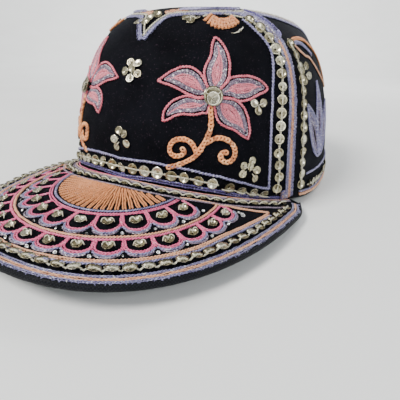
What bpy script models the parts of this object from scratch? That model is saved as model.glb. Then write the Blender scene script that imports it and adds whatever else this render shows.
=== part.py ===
"""Embroidered velvet cap with a stiff peak, built at its real size in metres.

The wearer's front is -Y and the wearer's left is +X. The cap rests on z = 0, on the lower edge
of its crown. A place on the crown is an angle round it from the front, and a climb angle that
is 0 at the lower edge and 90 at the top. The shapes are made about the crown's centre line, and
one empty then centres the whole cap over the origin.
"""

import bisect
import math

import bmesh
import bpy
from mathutils import Vector

MM = 0.001

# Crown, over its outside
CROWN_HALF_WIDTH = 82.6 * MM
CROWN_HALF_LENGTH = 103.5 * MM
CROWN_PLAN_POWER = 2.24
CROWN_HEIGHT = 108.2 * MM
SHOULDER_POWER = 0.45
RISE_POWER = 1.13
FRONT_RIM_RISE = 22 * MM
CLOTH = 2.2 * MM
SEAM_INSET = 0.3 * MM
CORNER_LIMIT = 0.5

# Seams, as places on the crown in degrees
FRONT_SEAM = (  # round, climb
    (56.5, 0),
    (56.0, 20),
    (58.0, 40),
    (57.5, 50),
    (53.5, 60),
    (46.0, 68),
    (40.0, 71.5),
)
TOP_SEAM = (  # round, climb
    (147, 0),
    (143, 28),
    (136, 48),
    (125, 62),
    (110, 68),
    (90, 70),
    (66, 72.5),
    (48, 73.5),
    (40, 71.5),
)
POINT_EDGE = (  # round, climb
    (0, 53),
    (4, 64.5),
    (8, 67.5),
    (20, 69),
    (40, 71.5),
)

# Panel grids
PANEL_ROWS = 14
FRONT_COLUMNS = 22
SIDE_COLUMNS = 8
TOP_COLUMNS = 10
SIDE_TIP_SHARE = 0.988

# Peak, seen from above
PEAK_HALF_WIDTH = 87.0 * MM
PEAK_REACH = 76.4 * MM
PEAK_PLAN_POWER = 2.44
PEAK_ROOT_ANGLE = 58.5
PEAK_DROOP = 6.2
PEAK_SIDE_FALL = 0.107  # extra slope of the peak, 100 mm out to either side
PEAK_FALL_REACH = 100 * MM
PEAK_THICKNESS = 1.7 * MM
PEAK_SEAT_GAP = 0.45 * MM
PEAK_STATIONS = 42
PEAK_ROWS = 5
PEAK_FIRST_ROW = 0.05
CORNER_START = 85.0
CORNER_PULL = 0.42
EDGE_STEPS = 300

# Binding round the peak's edge
BINDING_LIP = 1.7 * MM
BINDING_WALL = 0.5 * MM
BINDING_GAP = 0.15 * MM
BINDING_END_LIP = 1.3 * MM
BINDING_TAPER_STATIONS = 4

# Braids, cords and sequin strings
TRIM_GAP = 0.45 * MM
BRAID_SHOULDER = 0.55
BRAID_CREST = 0.5
SEAM_BRAID_WIDTH = 6.6 * MM
SEAM_BRAID_HEIGHT = 1.2 * MM
FRONT_BRAID_SPAN = (0.02, 0.97)
FRONT_BRAID_STEPS = 20
TOP_BRAID_SPAN = (0.035, 0.968)
TOP_BRAID_STEPS = 30
POINT_BRAID_WIDTH = 4.4 * MM
POINT_BRAID_STEPS = 12
POINT_MITRE = 1.9
EDGE_CORD_WIDTH = 3.0 * MM
EDGE_CORD_HEIGHT = 1.6 * MM
EDGE_CORD_CLIMB = 2.6
EDGE_CORD_START = 64
EDGE_CORD_STEPS = 46
PEAK_BRAID_WIDTH = 4.0 * MM
PEAK_BRAID_INSET = 3.9 * MM
PEAK_BRAID_TRIM = 2
PEAK_LINE_STEPS = 60

# Sequin strings: sizes, then their places as shares of the front seam or distances
SEQUIN_RADIUS = 2.8 * MM
SEQUIN_PITCH = 6.8 * MM
SEQUIN_HEIGHT = 1.0 * MM
SEQUIN_NECK = 0.8 * MM
SEQUIN_BEVEL = 0.6
SEQUIN_SHOULDERS = (0.28, 0.72)
BORDER_SHARES = (0.82, 0.70, 0.58, 0.46, 0.34, 0.22, 0.14)
SIDE_BORDER_SHARES = (0.80, 0.68, 0.56, 0.44, 0.32, 0.20, 0.09)
BORDER_COLUMN_SHIFT = 6.2
SIDE_COLUMN_SHIFT = 7.4
BORDER_ROW_CLIMB = 4.6
BORDER_ROW_STEPS = 12
PEAK_STRING_INSET = 9.1 * MM
PEAK_STRING_TRIM = 5
ROOT_STRING_OFFSET = 5.0 * MM
ROOT_STRING_ANGLE = 46
ROOT_STRING_STEPS = 20

# Measuring along the crown
NORMAL_STEP = 0.4
PROFILE_STEPS = 180

VELVET = (0.012, 0.012, 0.016)
LILAC = (0.43, 0.40, 0.62)
PEACH = (0.78, 0.42, 0.30)
PALE_GOLD = (0.62, 0.58, 0.42)
BINDING_BLACK = (0.02, 0.022, 0.026)


def clear_scene():
    for item in list(bpy.data.objects):
        bpy.data.objects.remove(item, do_unlink=True)


def make_collection(name):
    collection = bpy.data.collections.new(name)
    bpy.context.scene.collection.children.link(collection)
    return collection


def make_material(name, colour, roughness, metallic=0.0):
    material = bpy.data.materials.new(name)
    material.use_nodes = True
    shader = material.node_tree.nodes["Principled BSDF"]
    shader.inputs["Base Color"].default_value = (*colour, 1.0)
    shader.inputs["Roughness"].default_value = roughness
    shader.inputs["Metallic"].default_value = metallic
    return material


# Crown surface


def rim_radius(angle):
    """Distance from the centre line to the crown's lower edge, at an angle in radians."""
    across = abs(math.sin(angle) / CROWN_HALF_WIDTH) ** CROWN_PLAN_POWER
    along = abs(math.cos(angle) / CROWN_HALF_LENGTH) ** CROWN_PLAN_POWER
    return (across + along) ** (-1 / CROWN_PLAN_POWER)


def rim_height(angle):
    return FRONT_RIM_RISE * max(0.0, math.cos(angle)) ** 2


def crown_point(around, climb):
    """Place on the crown's outside, from angles in degrees."""
    angle = math.radians(around)
    up = math.radians(min(climb, 90.0))
    reach = rim_radius(angle) * max(0.0, math.cos(up)) ** SHOULDER_POWER
    share = max(0.0, math.sin(up)) ** RISE_POWER
    height = rim_height(angle) * (1 - share) + CROWN_HEIGHT * share
    return Vector((reach * math.sin(angle), -reach * math.cos(angle), height))


def crown_normal(around, climb):
    step = NORMAL_STEP
    middle = min(climb, 89.0)
    low = max(middle - step, 0.0)
    sideways = crown_point(around + step, middle) - crown_point(around - step, middle)
    upwards = crown_point(around, middle + step) - crown_point(around, low)
    return sideways.cross(upwards).normalized()


def along_table(table, share):
    """Place at a share, by length, of a seam that is given as a table of places."""
    points = [crown_point(*place) for place in table]
    lengths = [0.0]
    for first, second in zip(points, points[1:]):
        lengths.append(lengths[-1] + (second - first).length)
    wanted = share * lengths[-1]
    index = min(bisect.bisect_right(lengths, wanted), len(table) - 1)
    span = lengths[index] - lengths[index - 1]
    part = (wanted - lengths[index - 1]) / span
    start, end = table[index - 1], table[index]
    return tuple(a + (b - a) * part for a, b in zip(start, end))


def read_table(table, value):
    """Second column of a table at a value of its first, with straight steps between rows."""
    for (start, low), (end, high) in zip(table, table[1:]):
        if value <= end:
            return low + (high - low) * (value - start) / (end - start)
    return table[-1][1]


def row_shares():
    return [row / PANEL_ROWS for row in range(PANEL_ROWS + 1)]


def side_profile():
    """Pairs of climb and share of the way down from the top, measured along the crown's side."""
    climbs = [90 * step / PROFILE_STEPS for step in range(PROFILE_STEPS + 1)]
    lengths = [0.0]
    for low, high in zip(climbs, climbs[1:]):
        lengths.append(lengths[-1] + (crown_point(90, high) - crown_point(90, low)).length)
    return [(climb, 1 - length / lengths[-1]) for climb, length in zip(climbs, lengths)]


def flat_place(place, profile):
    """A place on the crown as a point of a disc whose middle is the top and whose rim is the edge."""
    around, climb = place
    down = read_table(profile, climb)
    angle = math.radians(around)
    return Vector((down * math.sin(angle), -down * math.cos(angle)))


def crown_place(point, profile_down):
    """The reverse of flat_place, from a table of shares and climbs."""
    around = math.degrees(math.atan2(point.x, -point.y))
    if point.length > 0.9999:
        return around, 0.0
    return around, read_table(profile_down, point.length)


# Crown panels


def inward_moves(mesh, free):
    """For each border vertex, the way into the patch, leaving out the free lower edge."""
    moves = {}
    for edge in mesh.edges:
        if not edge.is_boundary or all(vertex in free for vertex in edge.verts):
            continue
        face = edge.link_faces[0]
        first, second = edge.verts
        across = (second.co - first.co).cross(face.normal).normalized()
        if across.dot(face.calc_center_median() - first.co) < 0:
            across.negate()
        for vertex in edge.verts:
            moves.setdefault(vertex, []).append(across)
    return moves


def pull_in(mesh, free, distance):
    mesh.normal_update()
    for vertex, ways in inward_moves(mesh, free).items():
        total = sum(ways, Vector())
        if vertex in free:
            total.z = 0.0
        if total.length > 1e-6:
            reach = distance / max(CORNER_LIMIT, (total / len(ways)).length)
            vertex.co += total.normalized() * reach


def add_object(name, mesh, material, collection):
    data = bpy.data.meshes.new(name)
    mesh.to_mesh(data)
    mesh.free()
    item = bpy.data.objects.new(name, data)
    item.data.materials.append(material)
    collection.objects.link(item)
    return item


def thicken_inwards(mesh, around_layer, climb_layer):
    """Extrudes an open patch into a closed shell, along the crown's own normals."""
    made = bmesh.ops.extrude_face_region(mesh, geom=mesh.faces[:], use_keep_orig=True)
    for vertex in made["geom"]:
        if isinstance(vertex, bmesh.types.BMVert):
            normal = crown_normal(vertex[around_layer], vertex[climb_layer])
            vertex.co -= normal * CLOTH
    bmesh.ops.recalc_face_normals(mesh, faces=mesh.faces)


def cloth_patch(name, rows, material, collection):
    """Panel through rows of places on the crown, thickened inwards."""
    mesh = bmesh.new()
    around_layer = mesh.verts.layers.float.new("around")
    climb_layer = mesh.verts.layers.float.new("climb")
    grid, free = [], set()
    for row in rows:
        line = []
        for around, climb in row:
            vertex = mesh.verts.new(crown_point(around, climb))
            vertex[around_layer] = around
            vertex[climb_layer] = climb
            line.append(vertex)
            if climb == 0:
                free.add(vertex)
        grid.append(line)
    for low, high in zip(grid, grid[1:]):
        for column in range(len(low) - 1):
            mesh.faces.new((low[column], low[column + 1], high[column + 1], high[column]))
    bmesh.ops.remove_doubles(mesh, verts=mesh.verts, dist=1e-6)
    pull_in(mesh, free, SEAM_INSET)
    thicken_inwards(mesh, around_layer, climb_layer)
    return add_object(name, mesh, material, collection)


def point_climb(around):
    return read_table(POINT_EDGE, min(abs(around), POINT_EDGE[-1][0]))


def front_panel_rows():
    rows = []
    top_climb = FRONT_SEAM[-1][1]
    for share in row_shares():
        edge_around, edge_climb = along_table(FRONT_SEAM, share)
        row = []
        for column in range(FRONT_COLUMNS + 1):
            around = edge_around * (2 * column / FRONT_COLUMNS - 1)
            row.append((around, edge_climb * point_climb(around) / top_climb))
        rows.append(row)
    return rows


def side_panel_rows(side):
    rows = []
    for share in row_shares()[:-1] + [SIDE_TIP_SHARE]:
        front = along_table(FRONT_SEAM, share)
        back = along_table(TOP_SEAM, share)
        row = []
        for column in range(SIDE_COLUMNS + 1):
            part = column / SIDE_COLUMNS
            place = [a + (b - a) * part for a, b in zip(front, back)]
            row.append((side * place[0], place[1]))
        rows.append(row if side > 0 else row[::-1])
    return rows


def top_panel_rows():
    """Rows across the top panel, from its front point over the top to its back edge."""
    profile = side_profile()
    profile_down = [(down, climb) for climb, down in reversed(profile)]
    front = [place for place in front_panel_rows()[-1] if place[0] >= 0]
    seam = [along_table(TOP_SEAM, share) for share in row_shares()]
    left_edge = front + seam[::-1][1:]
    shares = [2 * column / TOP_COLUMNS - 1 for column in range(TOP_COLUMNS + 1)]
    rows = []
    for place in left_edge:
        edge = flat_place(place, profile)
        rows.append([Vector((edge.x * share, edge.y)) for share in shares])
    half_back = math.radians(180 - TOP_SEAM[0][0])
    back = [half_back * share for share in shares]
    arc = [Vector((math.sin(angle), math.cos(angle))) for angle in back]
    middle = [chord.lerp(curve, 0.5) for chord, curve in zip(rows[-1], arc)]
    flat_rows = rows + [middle, arc]
    return [[crown_place(point, profile_down) for point in row] for row in flat_rows[::-1]]


def side_panel(side, name, material, collection):
    rows = side_panel_rows(side)
    return cloth_patch(name, rows, material, collection)


# Peak surface


def peak_height(x, y):
    """Height of the peak's upper face at a place seen from above."""
    angle = math.atan2(x, -y)
    outwards = max(0.0, math.hypot(x, y) - rim_radius(angle))
    droop = math.tan(math.radians(PEAK_DROOP)) * outwards * max(0.0, math.cos(angle))
    fall = PEAK_SIDE_FALL * outwards * (x / PEAK_FALL_REACH) ** 2
    return rim_height(angle) - droop - fall - PEAK_SEAT_GAP


def peak_edge_point(turn):
    """Outer edge seen from above. The turn runs from -90 at one temple to 90 at the other."""
    angle = math.radians(abs(turn))
    root = math.radians(PEAK_ROOT_ANGLE)
    root_y = -rim_radius(root) * math.cos(root)
    tip_y = -(CROWN_HALF_LENGTH + PEAK_REACH)
    power = 2 / PEAK_PLAN_POWER
    x = PEAK_HALF_WIDTH * math.sin(angle) ** power
    y = root_y + (tip_y - root_y) * max(0.0, math.cos(angle)) ** power
    pull = max(0.0, (abs(turn) - CORNER_START) / (90 - CORNER_START)) ** 2 * CORNER_PULL
    corner_x = rim_radius(root) * math.sin(root)
    x += (corner_x - x) * pull
    return Vector((math.copysign(x, turn), y, 0))


def even_edge(count):
    """Points along the peak's outer edge with even spacing, from the right to the left temple."""
    fine = [peak_edge_point(90 * (step / EDGE_STEPS - 1)) for step in range(2 * EDGE_STEPS + 1)]
    lengths = [0.0]
    for first, second in zip(fine, fine[1:]):
        lengths.append(lengths[-1] + (second - first).length)
    points = []
    for step in range(count + 1):
        wanted = lengths[-1] * step / count
        index = min(max(bisect.bisect_left(lengths, wanted), 1), 2 * EDGE_STEPS)
        part = (wanted - lengths[index - 1]) / (lengths[index] - lengths[index - 1])
        points.append(fine[index - 1].lerp(fine[index], part))
    return points


def line_directions(points):
    """Direction of travel at each point of a line."""
    found = []
    for index in range(len(points)):
        before = points[max(index - 1, 0)]
        after = points[min(index + 1, len(points) - 1)]
        found.append((after - before).normalized())
    return found


def inset_edge(distance, count, trim):
    """The peak's outer edge moved inwards by a distance, without its first and last trim."""
    points = even_edge(count)
    ways = line_directions(points)
    up = Vector((0, 0, 1))
    moved = [point + up.cross(way) * distance for point, way in zip(points, ways)]
    return moved[trim : count + 1 - trim]


def on_peak(x, y):
    return Vector((x, y, peak_height(x, y)))


def peak_normal(x, y):
    step = 0.5 * MM
    sideways = on_peak(x + step, y) - on_peak(x - step, y)
    backwards = on_peak(x, y + step) - on_peak(x, y - step)
    return sideways.cross(backwards).normalized()


def build_peak(material, collection):
    """Plate from under the front panel's lower edge out to the slot in the binding."""
    slot_depth = BINDING_WALL + BINDING_GAP
    outer = inset_edge(slot_depth, PEAK_STATIONS, 0)
    mesh = bmesh.new()
    grid = []
    for index, edge in enumerate(outer):
        angle = math.radians(PEAK_ROOT_ANGLE * (2 * index / PEAK_STATIONS - 1))
        radius = rim_radius(angle) - CLOTH
        root = Vector((radius * math.sin(angle), -radius * math.cos(angle), 0))
        shares = [0.0, PEAK_FIRST_ROW] + [(row + 1) / PEAK_ROWS for row in range(PEAK_ROWS)]
        line = [root.lerp(edge, share) for share in shares]
        grid.append([mesh.verts.new(on_peak(point.x, point.y)) for point in line])
    for first, second in zip(grid, grid[1:]):
        for row in range(len(first) - 1):
            mesh.faces.new((first[row], first[row + 1], second[row + 1], second[row]))
    mesh.normal_update()
    item = add_object("peak", mesh, material, collection)
    plate = item.modifiers.new("board thickness", "SOLIDIFY")
    plate.thickness = PEAK_THICKNESS
    plate.offset = -1
    return item


# Strips that are swept along a line


def sweep(name, points, ups, section_at, material, collection):
    """Closed strip. section_at gives (sideways, upwards) pairs for a station, counterclockwise."""
    mesh = bmesh.new()
    ways = line_directions(points)
    rings = []
    for index, (point, up, way) in enumerate(zip(points, ups, ways)):
        side = way.cross(up).normalized()
        above = side.cross(way).normalized()
        section = section_at(index)
        rings.append([mesh.verts.new(point + side * a + above * b) for a, b in section])
    corners = len(rings[0])
    for first, second in zip(rings, rings[1:]):
        for corner in range(corners):
            following = (corner + 1) % corners
            mesh.faces.new((first[corner], first[following], second[following], second[corner]))
    mesh.faces.new(rings[0][::-1])
    mesh.faces.new(rings[-1])
    bmesh.ops.triangulate(mesh, faces=mesh.faces)
    bmesh.ops.recalc_face_normals(mesh, faces=mesh.faces)
    return add_object(name, mesh, material, collection)


def braid_section(width, height):
    half = width / 2
    crest = half * BRAID_CREST
    low, shoulder, top = TRIM_GAP, TRIM_GAP + height * BRAID_SHOULDER, TRIM_GAP + height
    return (
        (-half, low),
        (half, low),
        (half, shoulder),
        (crest, top),
        (-crest, top),
        (-half, shoulder),
    )


def crown_line(places):
    points = [crown_point(*place) for place in places]
    ups = [crown_normal(*place) for place in places]
    return points, ups


def crown_braid(name, places, width, height, material, collection):
    points, ups = crown_line(places)
    section = braid_section(width, height)
    return sweep(name, points, ups, lambda index: section, material, collection)


def seam_places(table, span, count, side):
    """Places along a seam between two shares of it, on one side of the cap."""
    start, end = span
    places = [along_table(table, start + (end - start) * n / count) for n in range(count + 1)]
    return [(side * around, climb) for around, climb in places]


def seam_braids(material, collection):
    """One braid over each front seam and one over each seam beside the top panel."""
    width, height = SEAM_BRAID_WIDTH, SEAM_BRAID_HEIGHT
    for side, word in ((1, "left"), (-1, "right")):
        front = seam_places(FRONT_SEAM, FRONT_BRAID_SPAN, FRONT_BRAID_STEPS, side)
        crown_braid(f"front_seam_braid_{word}", front, width, height, material, collection)
        top = seam_places(TOP_SEAM, TOP_BRAID_SPAN, TOP_BRAID_STEPS, side)
        crown_braid(f"top_seam_braid_{word}", top, width, height, material, collection)


def point_braid(material, collection):
    """Braid round the top panel's front point, mitred at its tip."""
    step = POINT_EDGE[-1][0] / POINT_BRAID_STEPS
    half = [(step * n, point_climb(step * n)) for n in range(1, POINT_BRAID_STEPS)]
    places = [(-a, c) for a, c in reversed(half)] + [POINT_EDGE[0]] + half
    points, ups = crown_line(places)
    tip = len(half)

    def section_at(index):
        mitre = POINT_MITRE if index == tip else 1.0
        return [(a * mitre, b) for a, b in braid_section(POINT_BRAID_WIDTH, SEAM_BRAID_HEIGHT)]

    return sweep("top_point_braid", points, ups, section_at, material, collection)


def edge_cord(material, collection):
    """Cord along the crown's lower edge, from the peak's one end round the back to its other."""
    step = (360 - 2 * EDGE_CORD_START) / EDGE_CORD_STEPS
    rounds = [EDGE_CORD_START + step * n for n in range(EDGE_CORD_STEPS + 1)]
    places = [(around, EDGE_CORD_CLIMB) for around in rounds]
    width, height = EDGE_CORD_WIDTH, EDGE_CORD_HEIGHT
    return crown_braid("crown_edge_cord", places, width, height, material, collection)


def even_line(points, pitch):
    """Points along a line, three to a sequin: its neck and the two shoulders of its disc."""
    lengths = [0.0]
    for first, second in zip(points, points[1:]):
        lengths.append(lengths[-1] + (second - first).length)
    count = max(1, round(lengths[-1] / pitch))
    first_shoulder, second_shoulder = SEQUIN_SHOULDERS
    stops = []
    for number in range(count):
        stops += [(number, 0), (number + first_shoulder, 1), (number + second_shoulder, 1)]
    stops.append((count, 0))
    found = []
    for place, wide in stops:
        wanted = lengths[-1] * place / count
        index = min(max(bisect.bisect_left(lengths, wanted), 1), len(points) - 1)
        part = (wanted - lengths[index - 1]) / (lengths[index] - lengths[index - 1])
        found.append((index - 1 + part, wide))
    return found


def sequin_string(name, places, surface, normal, material, collection):
    """String of overlapping round sequins, swept as one strip that swells at each of them."""
    points = [surface(*place) for place in places]
    stops = even_line(points, SEQUIN_PITCH)
    line, ups = [], []
    for position, _ in stops:
        index = min(int(position), len(places) - 2)
        part = position - index
        place = [a + (b - a) * part for a, b in zip(places[index], places[index + 1])]
        line.append(surface(*place))
        ups.append(normal(*place))

    def section_at(index):
        half = SEQUIN_RADIUS if stops[index][1] else SEQUIN_NECK
        crest = half * SEQUIN_BEVEL
        top = TRIM_GAP + SEQUIN_HEIGHT
        return ((-half, TRIM_GAP), (half, TRIM_GAP), (crest, top), (-crest, top))

    return sweep(name, line, ups, section_at, material, collection)


def border_places():
    """Line of the front panel's border string: down one side, along the foot, up the other."""
    side = []
    for share in BORDER_SHARES:
        around, climb = along_table(FRONT_SEAM, share)
        side.append((around - BORDER_COLUMN_SHIFT, climb))
    corner = side[-1][0]
    steps = range(1, BORDER_ROW_STEPS + 1)
    foot = [(corner * (1 - n / BORDER_ROW_STEPS), BORDER_ROW_CLIMB) for n in steps]
    half = side + foot
    return [(-a, c) for a, c in half] + [(a, c) for a, c in reversed(half[:-1])]


def side_border_places(side):
    places = []
    for share in SIDE_BORDER_SHARES:
        around, climb = along_table(FRONT_SEAM, share)
        places.append((side * (around + SIDE_COLUMN_SHIFT), climb))
    return places


def crown_strings(material, collection):
    surface, normal = crown_point, crown_normal
    sequin_string("front_border_sequins", border_places(), surface, normal, material, collection)
    for side, word in ((1, "left"), (-1, "right")):
        places = side_border_places(side)
        name = f"side_border_sequins_{word}"
        sequin_string(name, places, surface, normal, material, collection)


def peak_strings(material, collection):
    edge_line = inset_edge(PEAK_STRING_INSET, PEAK_LINE_STEPS, PEAK_STRING_TRIM)
    edge = [(point.x, point.y) for point in edge_line]
    sequin_string("peak_edge_sequins", edge, on_peak, peak_normal, material, collection)
    root = []
    for step in range(2 * ROOT_STRING_STEPS + 1):
        angle = math.radians(ROOT_STRING_ANGLE * (step / ROOT_STRING_STEPS - 1))
        radius = rim_radius(angle) + ROOT_STRING_OFFSET
        root.append((radius * math.sin(angle), -radius * math.cos(angle)))
    sequin_string("peak_root_sequins", root, on_peak, peak_normal, material, collection)


def peak_edge_braid(material, collection):
    line = inset_edge(PEAK_BRAID_INSET, PEAK_LINE_STEPS, PEAK_BRAID_TRIM)
    points = [on_peak(p.x, p.y) for p in line]
    ups = [peak_normal(p.x, p.y) for p in line]
    section = braid_section(PEAK_BRAID_WIDTH, SEAM_BRAID_HEIGHT)
    return sweep("peak_edge_braid", points, ups, lambda index: section, material, collection)


def binding_section(lip):
    """Slotted strip that holds the plate's edge, from its outer face inwards."""
    top = BINDING_GAP + BINDING_WALL
    bottom = -PEAK_THICKNESS - top
    slot = BINDING_WALL
    return (
        (0, -PEAK_THICKNESS),
        (0, 0),
        (-slot, top),
        (-lip, top),
        (-lip, BINDING_GAP),
        (-slot, BINDING_GAP),
        (-slot, -PEAK_THICKNESS - BINDING_GAP),
        (-lip, -PEAK_THICKNESS - BINDING_GAP),
        (-lip, bottom),
        (-slot, bottom),
    )


def build_binding(material, collection):
    line = inset_edge(0, PEAK_STATIONS, 0)
    points = [on_peak(p.x, p.y) for p in line]
    ups = [peak_normal(p.x, p.y) for p in line]

    def section_at(index):
        from_end = min(index, PEAK_STATIONS - index)
        share = min(1.0, from_end / BINDING_TAPER_STATIONS)
        lip = BINDING_END_LIP + (BINDING_LIP - BINDING_END_LIP) * share
        return binding_section(lip)

    return sweep("peak_binding", points, ups, section_at, material, collection)


def centre_on_floor(collection):
    """Moves the cap back so that its whole length is centred over the origin."""
    front_reach = CROWN_HALF_LENGTH + PEAK_REACH
    back_reach = CROWN_HALF_LENGTH + TRIM_GAP + EDGE_CORD_HEIGHT
    centre = bpy.data.objects.new("cap_centre", None)
    collection.objects.link(centre)
    for item in collection.objects:
        if item is not centre:
            item.parent = centre
    centre.location.y = (front_reach - back_reach) / 2


def build():
    clear_scene()
    cap = make_collection("embroidered_peaked_cap")
    velvet = make_material("black_velvet", VELVET, 0.9)
    binding = make_material("black_binding", BINDING_BLACK, 0.75)
    gold = make_material("pale_gold_sequin", PALE_GOLD, 0.3, 0.9)
    lilac = make_material("lilac_thread", LILAC, 0.5, 0.2)
    peach = make_material("peach_thread", PEACH, 0.6)
    cloth_patch("crown_front_panel", front_panel_rows(), velvet, cap)
    side_panel(1, "crown_side_panel_left", velvet, cap)
    side_panel(-1, "crown_side_panel_right", velvet, cap)
    cloth_patch("crown_top_panel", top_panel_rows(), velvet, cap)
    build_peak(velvet, cap)
    build_binding(binding, cap)
    seam_braids(lilac, cap)
    point_braid(lilac, cap)
    edge_cord(peach, cap)
    peak_edge_braid(peach, cap)
    crown_strings(gold, cap)
    peak_strings(gold, cap)
    centre_on_floor(cap)


build()
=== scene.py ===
"""Looks of the embroidered peaked cap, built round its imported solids.

Shapes are worked out in millimetres about the crown's centre line. A mesh is turned to metres and
moved back with the solids when it is made. A place on the crown is an angle round it from the
front and a climb angle, 0 at the lower edge and 90 at the top. A place on the peak is its x and y
seen from above. The wearer's front is -Y and the wearer's left is +X.
"""

import math

import bmesh
import bpy
import numpy as np
from mathutils import Matrix, Vector


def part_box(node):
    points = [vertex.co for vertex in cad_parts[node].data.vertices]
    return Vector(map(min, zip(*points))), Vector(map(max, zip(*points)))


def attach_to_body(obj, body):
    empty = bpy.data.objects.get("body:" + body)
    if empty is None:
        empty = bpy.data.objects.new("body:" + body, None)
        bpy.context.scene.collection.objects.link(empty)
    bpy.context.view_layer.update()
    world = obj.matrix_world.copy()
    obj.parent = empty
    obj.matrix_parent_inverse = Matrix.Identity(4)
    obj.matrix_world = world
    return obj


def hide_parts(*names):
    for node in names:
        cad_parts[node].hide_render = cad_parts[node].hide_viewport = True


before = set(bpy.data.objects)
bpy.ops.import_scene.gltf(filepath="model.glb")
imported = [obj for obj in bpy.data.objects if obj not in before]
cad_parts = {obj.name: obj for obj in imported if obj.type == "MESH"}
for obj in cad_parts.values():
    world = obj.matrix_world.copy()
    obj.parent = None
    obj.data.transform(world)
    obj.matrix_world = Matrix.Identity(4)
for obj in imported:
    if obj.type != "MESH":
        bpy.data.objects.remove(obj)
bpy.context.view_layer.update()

MM = 0.001

# Crown, over its outside, as in the solids
CROWN_HALF_WIDTH = 82.6
CROWN_HALF_LENGTH = 103.5
CROWN_PLAN_POWER = 2.24
CROWN_HEIGHT = 108.2
SHOULDER_POWER = 0.45
RISE_POWER = 1.13
FRONT_RIM_RISE = 22
CLOTH = 2.2
SEAM_INSET = 0.3

# Seams of the crown, as angles round it and climb angles
FRONT_SEAM = ((56.5, 0), (56, 20), (58, 40), (57.5, 50), (53.5, 60), (46, 68), (40, 71.5))
TOP_SEAM = (
    (147, 0), (143, 28), (136, 48), (125, 62), (110, 68), (90, 70), (66, 72.5), (48, 73.5), (40, 71.5),
)
POINT_EDGE = ((0, 53), (4, 64.5), (8, 67.5), (20, 69), (40, 71.5))

# Peak, as in the solids
PEAK_HALF_WIDTH = 87
PEAK_REACH = 76.4
PEAK_PLAN_POWER = 2.44
PEAK_ROOT_ANGLE = 58.5
PEAK_DROOP = 6.2
PEAK_SIDE_FALL = 0.107
PEAK_FALL_REACH = 100
PEAK_THICKNESS = 1.7
PEAK_SEAT_GAP = 0.45
CORNER_START = 85
CORNER_PULL = 0.42
BINDING_LIP = 1.7
BINDING_WALL = 0.5
BINDING_GAP = 0.15

# The solids are centred over the origin, so the crown's centre line lies this many metres behind it
CENTRE_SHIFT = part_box("peak_binding")[0].y + (CROWN_HALF_LENGTH + PEAK_REACH) * MM

# Camera, from the photograph's own perspective
CAMERA_AZIMUTH = 28.55
CAMERA_ELEVATION = 23.81
CAMERA_ROLL = 1.31
CAMERA_DISTANCE = 262.49
CAMERA_TARGET = (1.42, -20.66, -22.1)
FOCAL_PIXELS = 335.84
PHOTO_PIXELS = 400
SENSOR_WIDTH = 36.0

rng = np.random.default_rng(11)


# Points and lengths


def unit(vectors):
    lengths = np.linalg.norm(vectors, axis=-1, keepdims=True)
    return vectors / np.maximum(lengths, 1e-12)


def reach_of(points):
    """Length along a line, up to each of its points."""
    gaps = np.linalg.norm(np.diff(points, axis=0), axis=1)
    return np.concatenate([[0.0], np.cumsum(gaps)])


def sample(wanted, reach, rows):
    return np.stack([np.interp(wanted, reach, column) for column in rows.T], -1)


def even(points, count):
    """Evenly spaced points along a line."""
    reach = reach_of(points)
    return sample(np.linspace(0, reach[-1], count), reach, points)


def plan(radius, angle):
    """Point seen from above, at an angle from straight ahead."""
    return np.stack([radius * np.sin(angle), -radius * np.cos(angle)], -1)


def cross(one, other):
    return one[..., 0] * other[..., 1] - one[..., 1] * other[..., 0]


def mirrored(places, side):
    return np.asarray(places, float) * (side, 1)


def smooth(places, steps=10):
    """Curve through places that passes each of them."""
    points = np.asarray(places, float)
    knots = np.concatenate([2 * points[:1] - points[1:2], points, 2 * points[-1:] - points[-2:-1]])
    t = (np.arange(steps) / steps)[:, None]
    parts = []
    for n in range(len(points) - 1):
        a, b, c, d = knots[n : n + 4]
        square = (2 * a - 5 * b + 4 * c - d) * t**2
        cube = (3 * b - a - 3 * c + d) * t**3
        parts.append(0.5 * (2 * b + (c - a) * t + square + cube))
    return np.concatenate(parts + [points[-1:]])


# Crown and peak surfaces


def rim_radius(angle):
    across = np.abs(np.sin(angle) / CROWN_HALF_WIDTH) ** CROWN_PLAN_POWER
    lengthways = np.abs(np.cos(angle) / CROWN_HALF_LENGTH) ** CROWN_PLAN_POWER
    return (across + lengthways) ** (-1 / CROWN_PLAN_POWER)


def rim_height(angle):
    return FRONT_RIM_RISE * np.maximum(0.0, np.cos(angle)) ** 2


def crown_point(places):
    """Points on the crown's outside."""
    places = np.asarray(places, float)
    angle = np.radians(places[..., 0])
    up = np.radians(np.clip(places[..., 1], 0.0, 90.0))
    reach = rim_radius(angle) * np.maximum(0.0, np.cos(up)) ** SHOULDER_POWER
    share = np.sin(up) ** RISE_POWER
    height = rim_height(angle) * (1 - share) + CROWN_HEIGHT * share
    return np.concatenate([plan(reach, angle), height[..., None]], -1)


def crown_normal(places):
    step = 0.4
    places = np.asarray(places, float)
    around, middle = places[..., 0], np.minimum(places[..., 1], 89.0)
    east, west = (crown_point(np.stack([around + turn, middle], -1)) for turn in (step, -step))
    top = crown_point(np.stack([around, middle + step], -1))
    bottom = crown_point(np.stack([around, np.maximum(middle - step, 0.0)], -1))
    return unit(np.cross(east - west, top - bottom))


def peak_point(places):
    """Points on the peak's upper face."""
    places = np.asarray(places, float)
    x, y = places[..., 0], places[..., 1]
    angle = np.arctan2(x, -y)
    outwards = np.maximum(0.0, np.hypot(x, y) - rim_radius(angle))
    droop = math.tan(math.radians(PEAK_DROOP)) * outwards * np.maximum(0.0, np.cos(angle))
    fall = PEAK_SIDE_FALL * outwards * (x / PEAK_FALL_REACH) ** 2
    return np.stack([x, y, rim_height(angle) - droop - fall - PEAK_SEAT_GAP], -1)


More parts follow.
